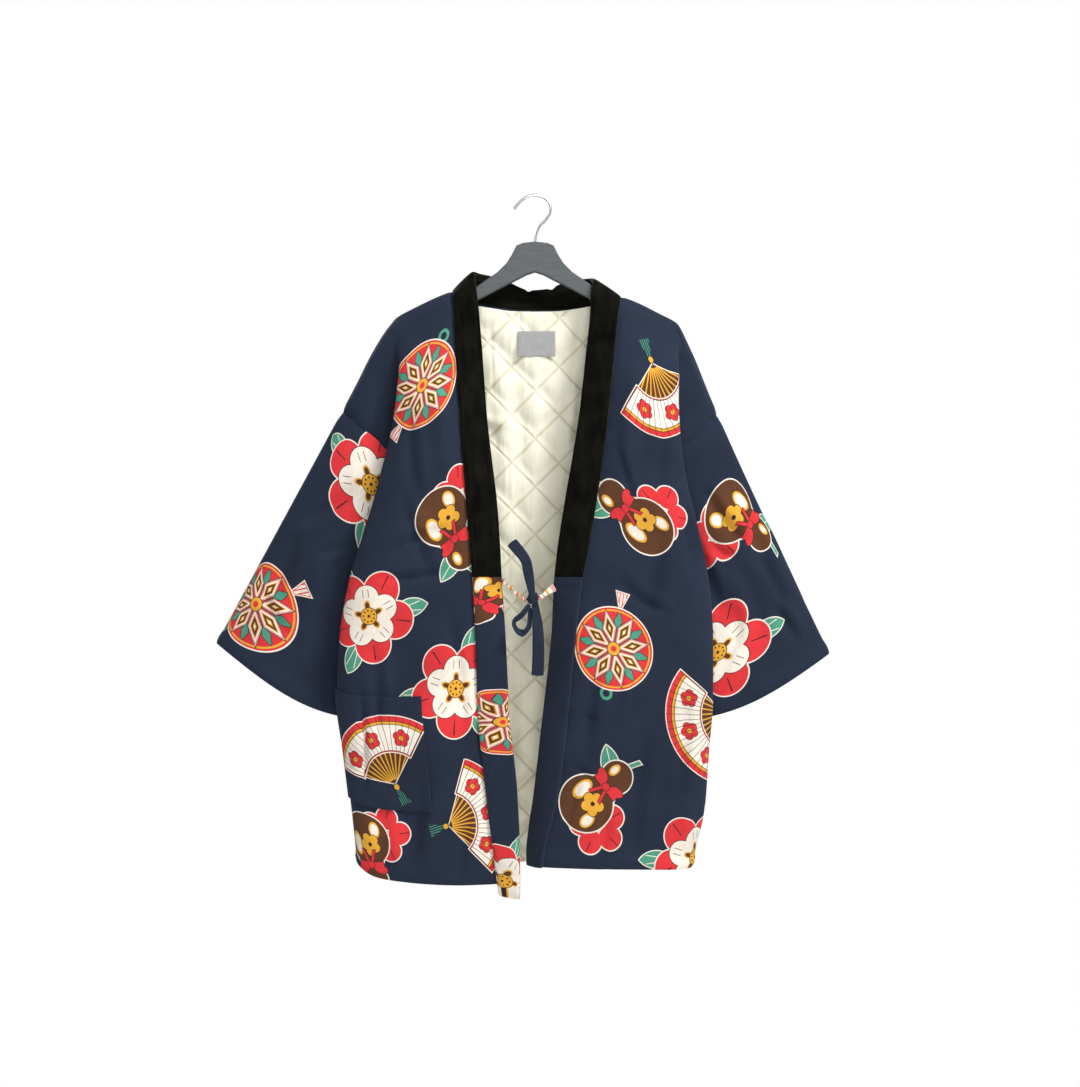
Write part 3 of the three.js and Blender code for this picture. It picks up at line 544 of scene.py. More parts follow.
def folding_fan(x, y):
    """An open paper fan: brown sticks, a cream leaf with a red border and red blossoms, a green tassel."""
    up = y + 46
    r, a = off(x, up), bearing(x, up)
    spread = (abs(a) - 1.02) * r
    tuft = most(abs(x) - 1.5 + up * 0.3, abs(up + 12) - 12)
    strands = most(1.1 - (x + 1.6) % 3.2, tuft)
    sticks = most(r - 50, spread + 3)
    splits = most(most(abs((a + 0.085) % 0.17 - 0.085) * r - 0.9, spread + 4), most(r - 49, 10 - r))
    leaf = most(abs(r - 70) - 25, spread)
    fold = (a + 0.33) % 0.66 - 0.33
    fx, fy = r * sin(fold), r * cos(fold) - 66
    heart = off(fx, fy)
    blossom, _, _ = petals(heart, bearing(fy, fx), 5, 0.4, 6.5, 5.5)
    pleats = most(abs((a + 0.055) % 0.11 - 0.055) * r - 0.35, most(leaf + 1, 48 - r))
    return [
        (tuft, GREEN), (strands, NAVY), (sticks, BROWN, CREAM, 1.3), (splits, GOLD),
        (leaf, RED, CREAM, 1.4), (most(r - 87, leaf + 2.4), GOLD, LINE, 0.9),
        (most(r - 83, leaf + 2.4), CREAM, LINE, 0.9), (most(blossom, leaf + 3), RED, LINE, 0.8),
        (most(heart - 4, leaf + 3), GOLD, LINE, 0.7), (pleats, LINE), (r - 4.5, GOLD, LINE, 0.9),
    ]


def gourd(x, y):
    """A brown gourd with pale lights and a red cord round its waist, over a red plum blossom and a leaf."""
    px, py = x + 30 - y * 0.5, y - 22 + x * 0.5
    leaf = pointed_leaf(px, py, 27, 13)
    vein = most(abs(py) - 0.5, leaf + 3)
    bx, by = x - 27, y + 26
    plum, px, py = petals(off(bx, by), bearing(by, bx), 5, 0.5, 20, 15)
    plum_crease = most(abs(py) - 0.5, abs(px - 6) - 6)
    stalk = most(abs(x - 2 - (y - 52) * 0.4) - 3.6, abs(y - 52) - 9)
    top, low = off(x, y - 27) - 20, off(x, y + 21) - 33
    join = most(14 - abs(top - low), 0)
    body = least(top, low) - join * join / 56
    lights = [((off((x - cx) / wide, (y - cy) / tall) - 1) * wide, CREAM, GOLD, 1.8)
              for cx, cy, wide, tall in ((-15, -14, 8, 14), (-8, 30, 5, 8), (15, -32, 7, 10))]
    bx, by = x - 5, y + 15
    heart = off(bx, by)
    blossom, _, _ = petals(heart, bearing(by, bx), 5, 0.1, 8, 6.5)
    side = abs(x)
    bow = off((side - 12) * 0.8, (y - 12 - side * 0.25) * 1.3) - 7.5
    tail = most(abs(side - 5 + y * 0.4) - 2.6, abs(y + 1) - 8)
    sash = most(abs(y - 9) - 3.4, side - 18)
    return [
        (leaf, GREEN, CREAM, 1.3), (vein, CREAM), (plum, RED, CREAM, 1.5), (plum_crease, LINE),
        (stalk, GREEN, CREAM, 1.2), (body, BROWN, CREAM, 1.5), *lights,
        (blossom, GOLD, LINE, 0.8), (heart - 2, LINE),
        (least(least(bow, tail), sash), RED, LINE, 0.8), (off(x, y - 9.5) - 5, RED, LINE, 0.7),
    ]


def thread_ball(x, y):
    """A ball wound with bright threads into an eight-pointed flower, with a red tassel."""
    r, a = off(x, y), bearing(y, x)
    tuft = most(abs(x) - 3 + (y + 50) * 0.35, abs(y + 58) - 10)
    strands = most(1.2 - (x + 2) % 4, tuft + 2)
    loop = abs(off(x, y - 53) - 6) - 1.8
    _, px, py = petals(r, a, 8, math.pi / 8, 33, 1)
    wedge = most(py + abs(px) * 0.42 - 5.6, abs(px) - 10)
    _, px, py = petals(r, a, 8, 0, 24, 1)
    star = py + abs(px) * 0.42
    return [
        (tuft, RED, CREAM, 1.2), (strands, CREAM), (loop, GREEN), (r - 49, RED, CREAM, 1.5),
        (abs(r - 44.5) - 1, GOLD), (wedge, GREEN, LINE, 0.8), (star - 9.5, CREAM, LINE, 1),
        (star - 5.6, BROWN, GOLD, 1), (star - 2.2, CREAM, GOLD, 1),
        (most(abs(star - 7.7) - 0.4, r - 43), RED), (r - 8.5, GOLD, LINE, 0.9), (r - 3.5, RED),
    ]


def blank_material(name):
    made = bpy.data.materials.new(name)
    made.use_nodes = True
    made.node_tree.nodes.clear()
    return made, made.node_tree


def sewn_finish(made, ink, height, lift, roughness, sheen, speck, tint="#ffffff", haze=0.5):
    """Matt cloth: its colour, how far its weave stands up in metres, and the haze of loose fibres on it."""
    bump = node(height.tree, "Bump", {"Height": height, "Strength": 1.0, "Distance": lift})
    surface = node(height.tree, "BsdfPrincipled", {
        "Base Color": ink, "Roughness": roughness, "Specular IOR Level": speck, "Sheen Weight": sheen,
        "Sheen Roughness": haze, "Sheen Tint": colour(tint), "Normal": bump})
    node(height.tree, "OutputMaterial", {"Surface": surface})
    return made


THREAD = 0.9  # mm between threads; the real ones, about 0.35 mm, would not show


def weave(tree, thread):
    """Plain weave on the cloth's own grain, in mm, with slubs: its height and the threads' unevenness."""
    cloth = node(tree, "UVMap", uv_map="cloth")
    grain = node(tree, "SeparateXYZ", {0: cloth})
    pitch = math.pi / (thread * MM)
    over = abs(sin(grain[0] * pitch)) * abs(cos(grain[1] * pitch))
    drawn_out = node(tree, "Mapping", {0: cloth, 3: (900, 90, 1)})
    slub = node(tree, "TexNoise", {"Vector": drawn_out, "Scale": 1.0, "Detail": 2.0})
    return over * 0.6 + slub, slub


def printed_cotton(motif=None):
    """Plain-woven cotton, dyed navy and screen printed. It is matt and slightly chalky: the weave breaks up
    any shine, and washing has left it a little uneven."""
    made, tree = blank_material("printed_cotton_" + (motif.__name__ if motif else "plain"))
    height, slub = weave(tree, THREAD)
    place = node(tree, "TexCoord")["Object"]
    cloudy = node(tree, "TexNoise", {"Vector": place, "Scale": 14.0, "Detail": 4.0})  # 70 mm patches
    ink = colour(NAVY)
    if motif:
        print_at = node(tree, "SeparateXYZ", {0: node(tree, "UVMap", uv_map="print")})
        ink = inked(ink, motif(print_at[0], print_at[1]))
    worn = 0.42 + 0.8 * cloudy + 0.36 * slub
    ink = node(tree, "Mix", {0: 1.0, 6: ink, 7: worn}, data_type="RGBA", blend_type="MULTIPLY")[2]
    return sewn_finish(made, ink, height, lift=0.00026, roughness=0.88, sheen=0.1, speck=0.2,
                       tint="#aab4d0")


QUILT_CELL = 17.5  # a quarter of a quilted diamond, in mm


def quilted_cream(quilted_in_mesh):
    """Unbleached cotton over wadding, quilted by machine. It is soft and matt, with painted shade darkening
    its cream where it sinks in along the quilted lines, a line of small stitches along each of them, and
    the fine upright gathers of cloth eased onto its wadding, their raised crests painted a little lighter.
    Inside the fronts and sleeves the furrows are bump alone."""
    made, tree = blank_material("quilted_cream" + ("" if quilted_in_mesh else "_inside"))
    height, slub = weave(tree, THREAD)
    cloth = node(tree, "UVMap", uv_map="cloth")
    grain = node(tree, "SeparateXYZ", {0: cloth})
    upright = node(tree, "Mapping", {0: cloth, 3: (75, 12, 1)})
    gathers = node(tree, "TexNoise", {"Vector": upright, "Scale": 1.0, "Detail": 1.5, "Distortion": 0.4})
    u, v = (grain[k] / (QUILT_CELL * MM) for k in (0, 1))
    to_line = 2 - most(abs((u + v) % 4 - 2), abs((u - v) % 4 - 2))
    stitch = most(to_line - 0.035, 0.3 - (v * 4.6) % 1)
    cover = node(tree, "MapRange", {"Value": stitch, "From Min": 0.01, "From Max": -0.02})
    furrow_depth_and_shade = node(tree, "MapRange", {"Value": to_line, "From Max": 0.3, "To Min": 1.0, "To Max": 0.0},
                  interpolation_type="SMOOTHSTEP")
    # painted shade: the cream is mixed darker along the quilted lines, where the cloth sinks in
    ink = node(tree, "Mix", {0: furrow_depth_and_shade, 6: colour("#f3f0db"), 7: colour("#e2ddc4")}, data_type="RGBA")[2]
    ink = node(tree, "Mix", {0: cover, 6: ink, 7: colour("#d6ceae")}, data_type="RGBA")[2]
    # the thread slubs vary the cream at random, and painted light makes the raised crests of the gathers
    # lighter than their hollows
    slub_and_gather_shade = 0.9 + 0.1 * slub + 0.06 * gathers
    ink = node(tree, "Mix", {0: 1.0, 6: ink, 7: slub_and_gather_shade}, data_type="RGBA", blend_type="MULTIPLY")[2]
    height = height - furrow_depth_and_shade * (4.5 if quilted_in_mesh else 14.0) - cover * 1.5 + gathers * 16
    return sewn_finish(made, ink, height, lift=0.00022, roughness=0.9, sheen=0.1, speck=0.3)


MOTIFS = [camellia, folding_fan, gourd, thread_ball]
PRINTED_CLOTH = [printed_cotton(), *map(printed_cotton, MOTIFS)]
INSIDE = quilted_cream(False)
MOTIF_REACH = 84  # mm from a motif's middle to its furthest point, at size 1


def printed(piece, motifs, inside=False):
    """Each face takes the nearest motif, which lies at (across, down, turn, size) on the flat cloth."""
    mesh = piece.data
    for material in (*PRINTED_CLOTH, INSIDE):
        mesh.materials.append(material)
    loops = np.empty(len(mesh.loops) * 2, np.float32)
    mesh.uv_layers["cloth"].data.foreach_get("uv", loops)
    loops = loops.reshape(-1, 2).astype(float) / MM
    starts = np.array([p.loop_start for p in mesh.polygons])
    counts = np.array([p.loop_total for p in mesh.polygons])
    middle = np.add.reduceat(loops, starts, axis=0) / counts[:, None]
    best, which = np.full(len(starts), 1.0), np.full(len(starts), -1)
    for k, (across, down, _, size, _) in enumerate(motifs):
        away = np.linalg.norm(middle - [across, down], axis=1) / (MOTIF_REACH * size)
        which, best = np.where(away < best, k, which), np.minimum(away, best)
    chosen = np.array([*(MOTIFS.index(motif) + 1 for *_, motif in motifs), 0])[which]
    chosen = np.where(inside, len(PRINTED_CLOTH), chosen)
    at = np.repeat(which, counts)
    placed = np.zeros_like(loops)
    for k, (across, down, turn, size, _) in enumerate(motifs):
        here = at == k
        x, y = (loops[here] - [across, down]).T / size
        c, n = math.cos(math.radians(turn)), math.sin(math.radians(turn))
        placed[here] = np.stack([c * x + n * y, c * y - n * x], axis=1)
    mesh.uv_layers.new(name="print").data.foreach_set("uv", placed.astype(np.float32).ravel())
    mesh.polygons.foreach_set("material_index", chosen.astype(np.int32))


def creased(grid, facing, creases, sunk=0.0, free=1.0, closed=False):
    """Presses soft troughs (depth over 0) and ridges (under 0) into the cloth. Each crease runs from one
    spot to another as seen from the front, with its bow, its half width and its depth, dies out at both
    ends and has the cloth it drew in banked up along one side. Where the cloth is sewn down, free is 0."""
    x, z = grid[..., 0], grid[..., 2]
    front = grid[..., 1] < 0
    pressed = np.zeros(x.shape)
    rows = [(face, *row) for face in creases for row in creases[face]]
    for face, x0, z0, x1, z1, bow, wide, deep in rows:
        long = math.hypot(x1 - x0, z1 - z0)
        ux, uz = (x1 - x0) / long, (z1 - z0) / long
        t = ((x - x0) * ux + (z - z0) * uz) / long
        away = ((z - z0) * ux - (x - x0) * uz - bow * 4 * t * (1 - t)) / wide
        ends = np.sin(math.pi * np.clip(t, 0, 1)) ** 0.7
        bank = np.exp(-away**2) - 0.45 * np.exp(-(away - 1.7) ** 2)
        pressed += np.where(front == (face == "front"), deep * ends * bank, 0)
    return grid - outward(grid, facing, closed) * (CREASE * pressed * free + sunk)[..., None]


SEAM_DEEP = 2.8
SEAM_REACH = 7
HEM_ROLL = 1.7
HEM_HALF = 8


def seam_sink(away, along, deep, reach):
    """How far the padding is drawn in beside a row of stitches, a little more at some than at others."""
    pull = 1 + 0.4 * np.sin(along / 6.5 + 2.1 * np.sin(along / 37)) * np.sin(along / 71 + 1)
    return deep * np.exp(-(away / reach) ** 2) * pull


def hem_roll(away):
    """The wadding turned in at a hem stands up as a soft roll."""
    return -HEM_ROLL * np.exp(-((away - HEM_HALF) / HEM_HALF) ** 2)


CREASE = 2.7  # every crease is pressed in this many times its depth below
# Where each half's creases lie: from x and z, to x and z, bow, half width and depth.
BODY_CREASES = {
    "right": {
        "front": [
            (-205, -520, -118, -482, 7, 8, 2.6), (-225, -552, -108, -536, -6, 6, 2.2),
            (-150, -250, -126, -430, 6, 15, -2.4), (-178, -300, -166, -450, -5, 10, 2.2),
            (-122, -600, -98, -800, 5, 8, 2.0), (-230, -640, -226, -780, 4, 8, 2.0),
            (-150, -830, -172, -968, -6, 11, 2.4), (-92, -860, -112, -978, 4, 7, 2.0),
            (-208, -850, -200, -960, 3, 10, -2.2), (-248, -700, -242, -870, 3, 7, 2.0),
            (-190, -420, -140, -560, -7, 9, 1.6), (-108, -440, -134, -520, 3, 5, 1.3),
            (-96, -610, -128, -640, 2, 4.5, 1.4), (-88, -730, -112, -752, -2, 4, 1.2),
            (-80, -800, -108, -838, 2, 4.5, 1.4), (-215, -250, -238, -420, -6, 9, 1.8),
        ],
        "back": [
            (-60, -220, -42, -420, 5, 12, 2.2), (-140, -240, -165, -380, -6, 10, 2.4),
            (-200, -430, -130, -560, 8, 9, 2.6), (-100, -480, -84, -720, 5, 14, -2.2),
            (-180, -640, -195, -880, -5, 11, 2.4), (-50, -700, -64, -940, 4, 10, 2.2),
            (-22, -330, -120, -300, 6, 7, 1.4), (-30, -560, -118, -640, -8, 8, 1.6),
            (-130, -760, -112, -950, 5, 9, 1.8), (-225, -700, -232, -860, 3, 8, 1.8),
        ],
    },
    "left": {
        "front": [
            (205, -430, 224, -545, 4, 9, 2.2), (150, -240, 130, -410, -6, 15, -2.4),
            (62, -838, 42, -908, 1, 4.5, 2.2), (92, -650, 72, -810, -4, 9, 1.8),
            (118, -552, 192, -604, -7, 8, 2.2), (178, -470, 150, -620, 6, 12, 2.2),
            (162, -760, 140, -946, -6, 11, 2.4), (212, -690, 203, -870, 4, 8, 2.2),
            (102, -880, 90, -958, 3, 6, 2.0), (222, -870, 216, -952, -3, 8, -2.0),
            (186, -300, 172, -420, 4, 9, 1.8), (118, -360, 146, -452, -4, 6, 1.3),
            (78, -600, 108, -628, 2, 4.5, 1.4), (62, -742, 96, -756, -2, 4, 1.3),
            (50, -812, 84, -842, 2, 4.5, 1.5), (132, -640, 124, -760, 3, 7, -1.4),
        ],
        "back": [
            (64, -230, 50, -440, -5, 12, 2.2), (146, -250, 170, -400, 6, 10, 2.4),
            (190, -450, 120, -590, -7, 9, 2.6), (96, -520, 112, -760, -5, 14, -2.2),
            (176, -660, 190, -900, 5, 11, 2.4), (40, -640, 52, -900, -4, 10, 2.2),
            (26, -290, 112, -350, -6, 7, 1.4), (34, -500, 96, -470, 6, 7, 1.5),
            (128, -780, 116, -948, -5, 9, 1.8), (208, -560, 222, -720, 3, 8, 1.8),
        ],
    },
}
# Where each motif is printed on the flat cloth: across from the middle, down from the shoulder (the front
# is negative), its turn in degrees and its size.
BODY_PRINTS = {
    "right": [
        (168, -112, 35, 1.15, thread_ball), (120, -318, 150, 1.2, gourd), (236, -420, 20, 1.1, camellia),
        (112, -520, -40, 1.1, camellia), (84, -684, 75, 0.95, folding_fan), (236, -746, 165, 1.1, gourd),
        (150, 96, 200, 1.1, camellia), (60, 262, 30, 1.2, gourd), (232, 240, -40, 1.05, folding_fan),
        (150, 400, 120, 1.15, thread_ball), (300, 410, 10, 1.1, camellia),
        (44, 540, -60, 1.05, folding_fan), (206, 572, 160, 1.2, gourd), (110, 700, 20, 1.1, camellia),
        (286, 716, -100, 1.05, folding_fan),
    ],
    "left": [
        (196, -116, -150, 1.05, folding_fan), (140, -292, 60, 1.2, gourd),
        (112, -476, 170, 1.15, thread_ball), (240, -572, 110, 1.05, folding_fan),
        (92, -668, -50, 1.2, gourd), (232, -756, 30, 1.1, camellia),
        (176, 82, 30, 1.2, gourd), (66, 210, -120, 1.05, folding_fan), (236, 262, 100, 1.1, camellia),
        (104, 380, 0, 1.15, thread_ball), (270, 440, -60, 1.2, gourd), (76, 552, 160, 1.1, camellia),
        (228, 610, 40, 1.05, folding_fan), (92, 736, -80, 1.2, gourd), (262, 780, 130, 1.1, camellia),
    ],
}
for side in SIDES:
    facing = SIDES[side]["sign"]
    grid, flat = body_grid(side)
    down = flat[..., 1]
    to_seam, to_start = flat[:, -1:, 0] - flat[..., 0], flat[..., 0] - flat[:, :1, 0]
    at_armhole = np.clip((ARMHOLE + 10 - np.abs(down)) / 20, 0, 1)
    off_seam = 1 - np.exp(-(to_seam / 12) ** 2)  # 0 where the side seam holds the cloth
    sunk = seam_sink(to_seam, down, SEAM_DEEP, SEAM_REACH) * at_armhole
    sunk += seam_sink(to_start, down, 2.4, 6.5)
    sunk += hem_roll(np.where(down < 0, FRONT_LONG + down, BACK_LONG - down)) * off_seam
    free = (1 - np.exp(-(to_start / 16) ** 2)) * np.maximum(off_seam, at_armhole)
    grid = creased(grid, facing, BODY_CREASES[side], sunk, free)
    half_coat, inside = padded_shell(f"half_coat_{side}", grid, PADDED, facing, flat)
    printed(half_coat, BODY_PRINTS[side], inside)
    ridden(half_coat, "printed_cotton", f"body_{side}")

# ---------- sleeves ----------
# Wide straight sleeves of the same padded print, each one tube: sewn into the armhole, folded flat as it
# hangs and open at the cuff. There is no cuff band; the edge is the cloth turned in over the wadding.
SLEEVES = {
    "right": {"top_bow": 0, "cuff_top": [461, -646], "cuff_low": [250, -757], "cuff_bow": 20,
              "low_start": [168, -468]},
    "left": {"top_bow": -2, "cuff_top": [426, -661], "cuff_low": [226, -757], "cuff_bow": 15,
             "low_start": [160, -470]},
}
LOW_BOW = -3
SLEEVE_WAVE = 2.2
SLEEVE_GAP = 0.6
SLEEVE_LONG = 345  # armhole to cuff, along the middle of the sleeve
CUFF_HALF = 20
SLEEVE_ROWS = 84
SLEEVE_COLUMNS = 132


def sleeve_ring(side, q, turn):
    """The sleeve's ring at a share q of the way from the armhole to the cuff."""
    cut = {name: np.array(value, float) for name, value in SLEEVES[side].items()}
    s = (1 - np.cos(turn)) / 2
    seam = seam_edge(side, "front", s * ARMHOLE)[:, [0, 2]] * [SIDES[side]["sign"], 1]
    start, low_start = seam[0], cut["low_start"]
    high = lerp(start, cut["cuff_top"], q) + [cut["top_bow"] * math.sin(math.pi * q**0.7), 0]
    low = lerp(low_start, cut["cuff_low"], q) + [LOW_BOW * math.sin(math.pi * q**0.7), 0]
    armhole = unit(low_start - start)
    away = np.array([-armhole[1], armhole[0]])
    straight = lerp(start, low_start, s[:, None])
    place = lerp(high, low, s[:, None]) + (seam - straight) * (1 - q) ** 3
    place += away * SLEEVE_GAP * (1 - q)
    place[:, 1] -= cut["cuff_bow"] * q**3 * np.sin(math.pi * s**1.15)
    soft = SLEEVE_WAVE * math.sin(math.pi * q) * np.sin(5 * s + 3 * q) * np.sin(math.pi * s)
    wide = lerp(ARMHOLE_HALF, CUFF_HALF, q) / ARMHOLE_HALF
    out = np.maximum(wide * armhole_out(s), np.where(s > 0.5, SIDE_SEAM_HALF, 0)) + soft
    out[np.isclose(np.sin(turn), 0)] = 0
    return spot(side, place[:, 0], np.where(turn <= math.pi, -out, out), place[:, 1])


SLEEVE_CREASES = {
    "right": {
        "front": [
            (-258, -418, -338, -474, 6, 9, 2.8), (-226, -462, -296, -566, -8, 10, 2.8),
            (-345, -490, -396, -596, 7, 11, 2.4), (-300, -520, -334, -650, -7, 12, -2.4),
            (-250, -600, -264, -710, 4, 8, 2.2), (-204, -500, -238, -650, 5, 7, 2.2),
            (-400, -560, -352, -640, -5, 8, 2.0), (-270, -500, -318, -520, 3, 6, 1.6),
        ],
        "back": [
            (-270, -410, -344, -508, -7, 10, 2.6), (-240, -500, -284, -650, 7, 11, 2.4),
            (-350, -560, -404, -646, 5, 11, 2.4), (-300, -600, -318, -710, -4, 8, 2.0),
        ],
    },
    "left": {
        "front": [
            (244, -424, 306, -506, -6, 9, 2.8), (212, -484, 266, -606, 7, 10, 2.8),
            (316, -474, 366, -596, -7, 11, 2.4), (278, -540, 310, -660, 7, 12, -2.4),
            (342, -590, 376, -646, 3, 8, 2.4), (228, -620, 244, -716, -4, 8, 2.2),
            (300, -600, 264, -690, 4, 8, 1.8), (250, -500, 292, -526, -3, 6, 1.6),
        ],
        "back": [
            (250, -420, 320, -526, 7, 10, 2.6), (226, -510, 266, -660, -7, 11, 2.4),
            (326, -560, 376, -656, -5, 11, 2.4), (280, -610, 296, -716, 4, 8, 2.0),
        ],
    },
}
SLEEVE_PRINTS = {
    "right": [
        (112, 48, 160, 1.1, camellia), (196, 206, -30, 1.2, gourd), (50, 272, 40, 1.15, thread_ball),
        (390, 215, 130, 1.1, camellia), (280, 330, -70, 1.15, thread_ball),
    ],
    "left": [
        (62, 132, 30, 1.2, gourd), (150, 262, 140, 1.1, camellia),
        (335, 110, 100, 1.05, folding_fan), (430, 250, -40, 1.15, thread_ball), (300, 318, 170, 1.2, gourd),
    ],
}
for side in SIDES:
    facing = SIDES[side]["sign"]
    turn = np.linspace(0, 2 * math.pi, SLEEVE_COLUMNS + 1)
    grid = np.stack([sleeve_ring(side, q, turn) for q in np.linspace(0, 1, SLEEVE_ROWS)])
    flat = np.stack(np.meshgrid(np.linspace(0, 2 * ARMHOLE, SLEEVE_COLUMNS + 1),
                                np.linspace(0, SLEEVE_LONG, SLEEVE_ROWS)), axis=-1)
    sunk = seam_sink(flat[..., 1], flat[..., 0], SEAM_DEEP, SEAM_REACH)
    sunk += hem_roll(SLEEVE_LONG - flat[..., 1])
    grid = creased(grid, facing, SLEEVE_CREASES[side], sunk, closed=True)
    sleeve, inside = padded_shell(f"sleeve_{side}_cloth", grid, PADDED, facing, flat, closed=True)
    printed(sleeve, [(round_it + lap, *rest) for round_it, *rest in SLEEVE_PRINTS[side]
                     for lap in (-2 * ARMHOLE, 0, 2 * ARMHOLE)], inside)
    ridden(sleeve, "printed_cotton", f"sleeve_{side}")

# ---------- collar band ----------
# A folded and stuffed band is sewn along both front edges and round the neck. Its lower part is printed
# cotton; from the chest up and round the neck it is covered with black velvet.
VELVET_END_Z = -551
BAND_THICK = 9
SHOULDER_BAND_Z = {"right": -138.5, "left": -147.5}
# Round the back of the neck: the sewn edge's place out, back and up, then the free edge's.
NECK = [
    [108, 11, -141.5, 80, 17, -110],
    [90, 19.5, -148.8, 64, 31, -112],
    [60, 26, -156.2, 38, 40, -120],
    [30, 29, -160.3, 20, 44, -128],
    [0, 30, -161.4, 0, 46, -132],
]


def band_edges(side, z):
    band = BANDS[side]
    return (spot(side, band["sewn"](z), -band["sewn_out"](z), z),
            spot(side, band["free"](z), -band["free_out"](z), z + band["lift"](z)))


# How far in towards its middle, and how far out, the rings lie that close a strip's end.
CLOSING = [(0, 1.6), (0.6, 1.2), (0.92, 0.5)]


def filled_strip(name, edge, other, thick, sides, flat_down, tip=0, swell=1.0):
    """A stuffed strip with a flat oval section between two edges, thicker where it swells."""
    middle, half = (edge + other) / 2, (other - edge) / 2
    travel = np.gradient(middle, axis=0)
    through_it = unit(np.cross(half, travel)) * thick / 2 * np.reshape(swell, (-1, 1))
    turn = np.linspace(0, 2 * math.pi, sides + 1)
    wide, deep = (np.sign(part) * np.abs(part) ** power
                  for part, power in ((np.cos(turn), 0.7), (np.sin(turn), 0.5)))
    rings = middle[:, None] + half[:, None] * wide[:, None] + through_it[:, None] * deep[:, None]
    ends = []
    for row, beyond, bulge in ((0, 1, 0), (-1, -2, tip)):
        away = unit(middle[row] - middle[beyond])
        ends.append([middle[row] + (rings[row] - middle[row]) * share + away * (bulge + lift)
                     for share, lift in CLOSING])
    rings = np.concatenate([ends[0], rings, ends[1][::-1]])
    around = turn / (2 * math.pi) * 4 * np.linalg.norm(half, axis=1).mean()
    flat = np.stack(np.meshgrid(around, np.pad(flat_down, len(CLOSING), "edge")), axis=-1)
    return made_mesh(name, rings.reshape(-1, 3), grid_quads(*rings.shape[:2]), flat.reshape(-1, 2))[0]


def run_along(points):
    """How far along a line each of its points lies."""
    return np.concatenate([[0], np.cumsum(np.linalg.norm(np.diff(points, axis=0), axis=1))])


OVER_SEAM = 1.0  # the stuffed band bulges this far over its seam
BAND_END_Z = {"right": -989, "left": -961}
BAND_TIP = {"right": 13, "left": 2}
BAND_PRINTS = {
    "right": [(64, 28, 30, 0.9, gourd), (72, 204, -50, 0.95, thread_ball), (60, 430, 20, 0.9, camellia)],
    "left": [],
}
for side in SIDES:
    z = np.linspace(VELVET_END_Z - SEAM_GAP, BAND_END_Z[side], 110)
    edge, other = band_edges(side, z)
    edge = edge + unit(edge - other) * OVER_SEAM
    far = run_along(edge)
    swell = 1 + 0.1 * np.sin(far / 9 + 2 * np.sin(far / 53)) * np.sin(far / 47)
    swell -= 0.4 * np.exp(-((far - 16) / 3) ** 2)  # the row of stitches just below the velvet
    thick = BAND_THICK - 0.5  # cotton lies a little flatter than velvet
    band = filled_strip(f"printed_band_{side}", edge, other, thick, 40, far, BAND_TIP[side], swell)
    printed(band, BAND_PRINTS[side])
    ridden(band, "printed_cotton", f"band_{side}")

VELVET_Z = [VELVET_END_Z + SEAM_GAP, -500, -440, -380, -325, -270, -224, -195, -170]
LEFT_NECK_LOWER = 7
VELVET_COLUMNS = 300
# Soft dents in the free edge behind the neck: the place across, half width and depth of each.
NECK_DENTS = [(-10, 4, 3.0), (25, 5, 3.6), (-52, 6, 1.6), (58, 5, 1.4), (4, 9, -1.2)]


def collar_stations():
    """Sewn and free edge points from the right front round the neck to the left front."""
    halves = []
    for side in SIDES:
        z = np.array([*VELVET_Z, *(SHOULDER_BAND_Z[side] + np.array([-13, -5.5, 0]))])
        lower = LEFT_NECK_LOWER * (side == "left")
        behind = np.array(NECK[:5 if side == "right" else 4], float)
        behind[:, [2, 5]] -= (lower * (behind[:, 0] / NECK[0][0]) ** 2)[:, None]
        ends = [np.concatenate([edge, spot(side, *behind[:, k:k + 3].T)])
                for edge, k in zip(band_edges(side, z), (0, 3))]
        halves.append(ends if side == "right" else [edge[::-1] for edge in ends])
    return [np.concatenate(pair) for pair in zip(*halves)]


sewn, free = collar_stations()
steps = np.linspace(0, len(sewn) - 1, VELVET_COLUMNS)
far = np.interp(steps, np.arange(len(sewn)), run_along((sewn + free) / 2))
run = np.linspace(0, far[-1], VELVET_COLUMNS)
even = np.interp(run, far, steps)
sewn_line, free_line = (through(edge[None], even)[0] for edge in (sewn, free))
turned = np.exp(-((sewn_line[:, 1] + 20) / 26) ** 2)  # where the band turns over the shoulders
swell = 1 + 0.16 * np.sin(run / 7 + 2 * np.sin(run / 41)) * np.sin(run / 33 + 1) * (0.4 + turned)
for x, wide, deep in NECK_DENTS:
    dent = deep * np.exp(-((free_line[:, 0] - x) / wide) ** 2)
    free_line[:, 2] -= np.where(free_line[:, 1] > 20, dent, 0)
behind_neck = np.clip((sewn_line[:, 1] - 12) / 10, 0, 1)
sewn_line -= behind_neck[:, None] * [0, 3.0, 2.5]  # the band covers the raw edge of the back
sewn_line += unit(sewn_line - free_line) * OVER_SEAM
collar = filled_strip("velvet_collar", sewn_line, free_line, BAND_THICK, 48, run, swell=swell)


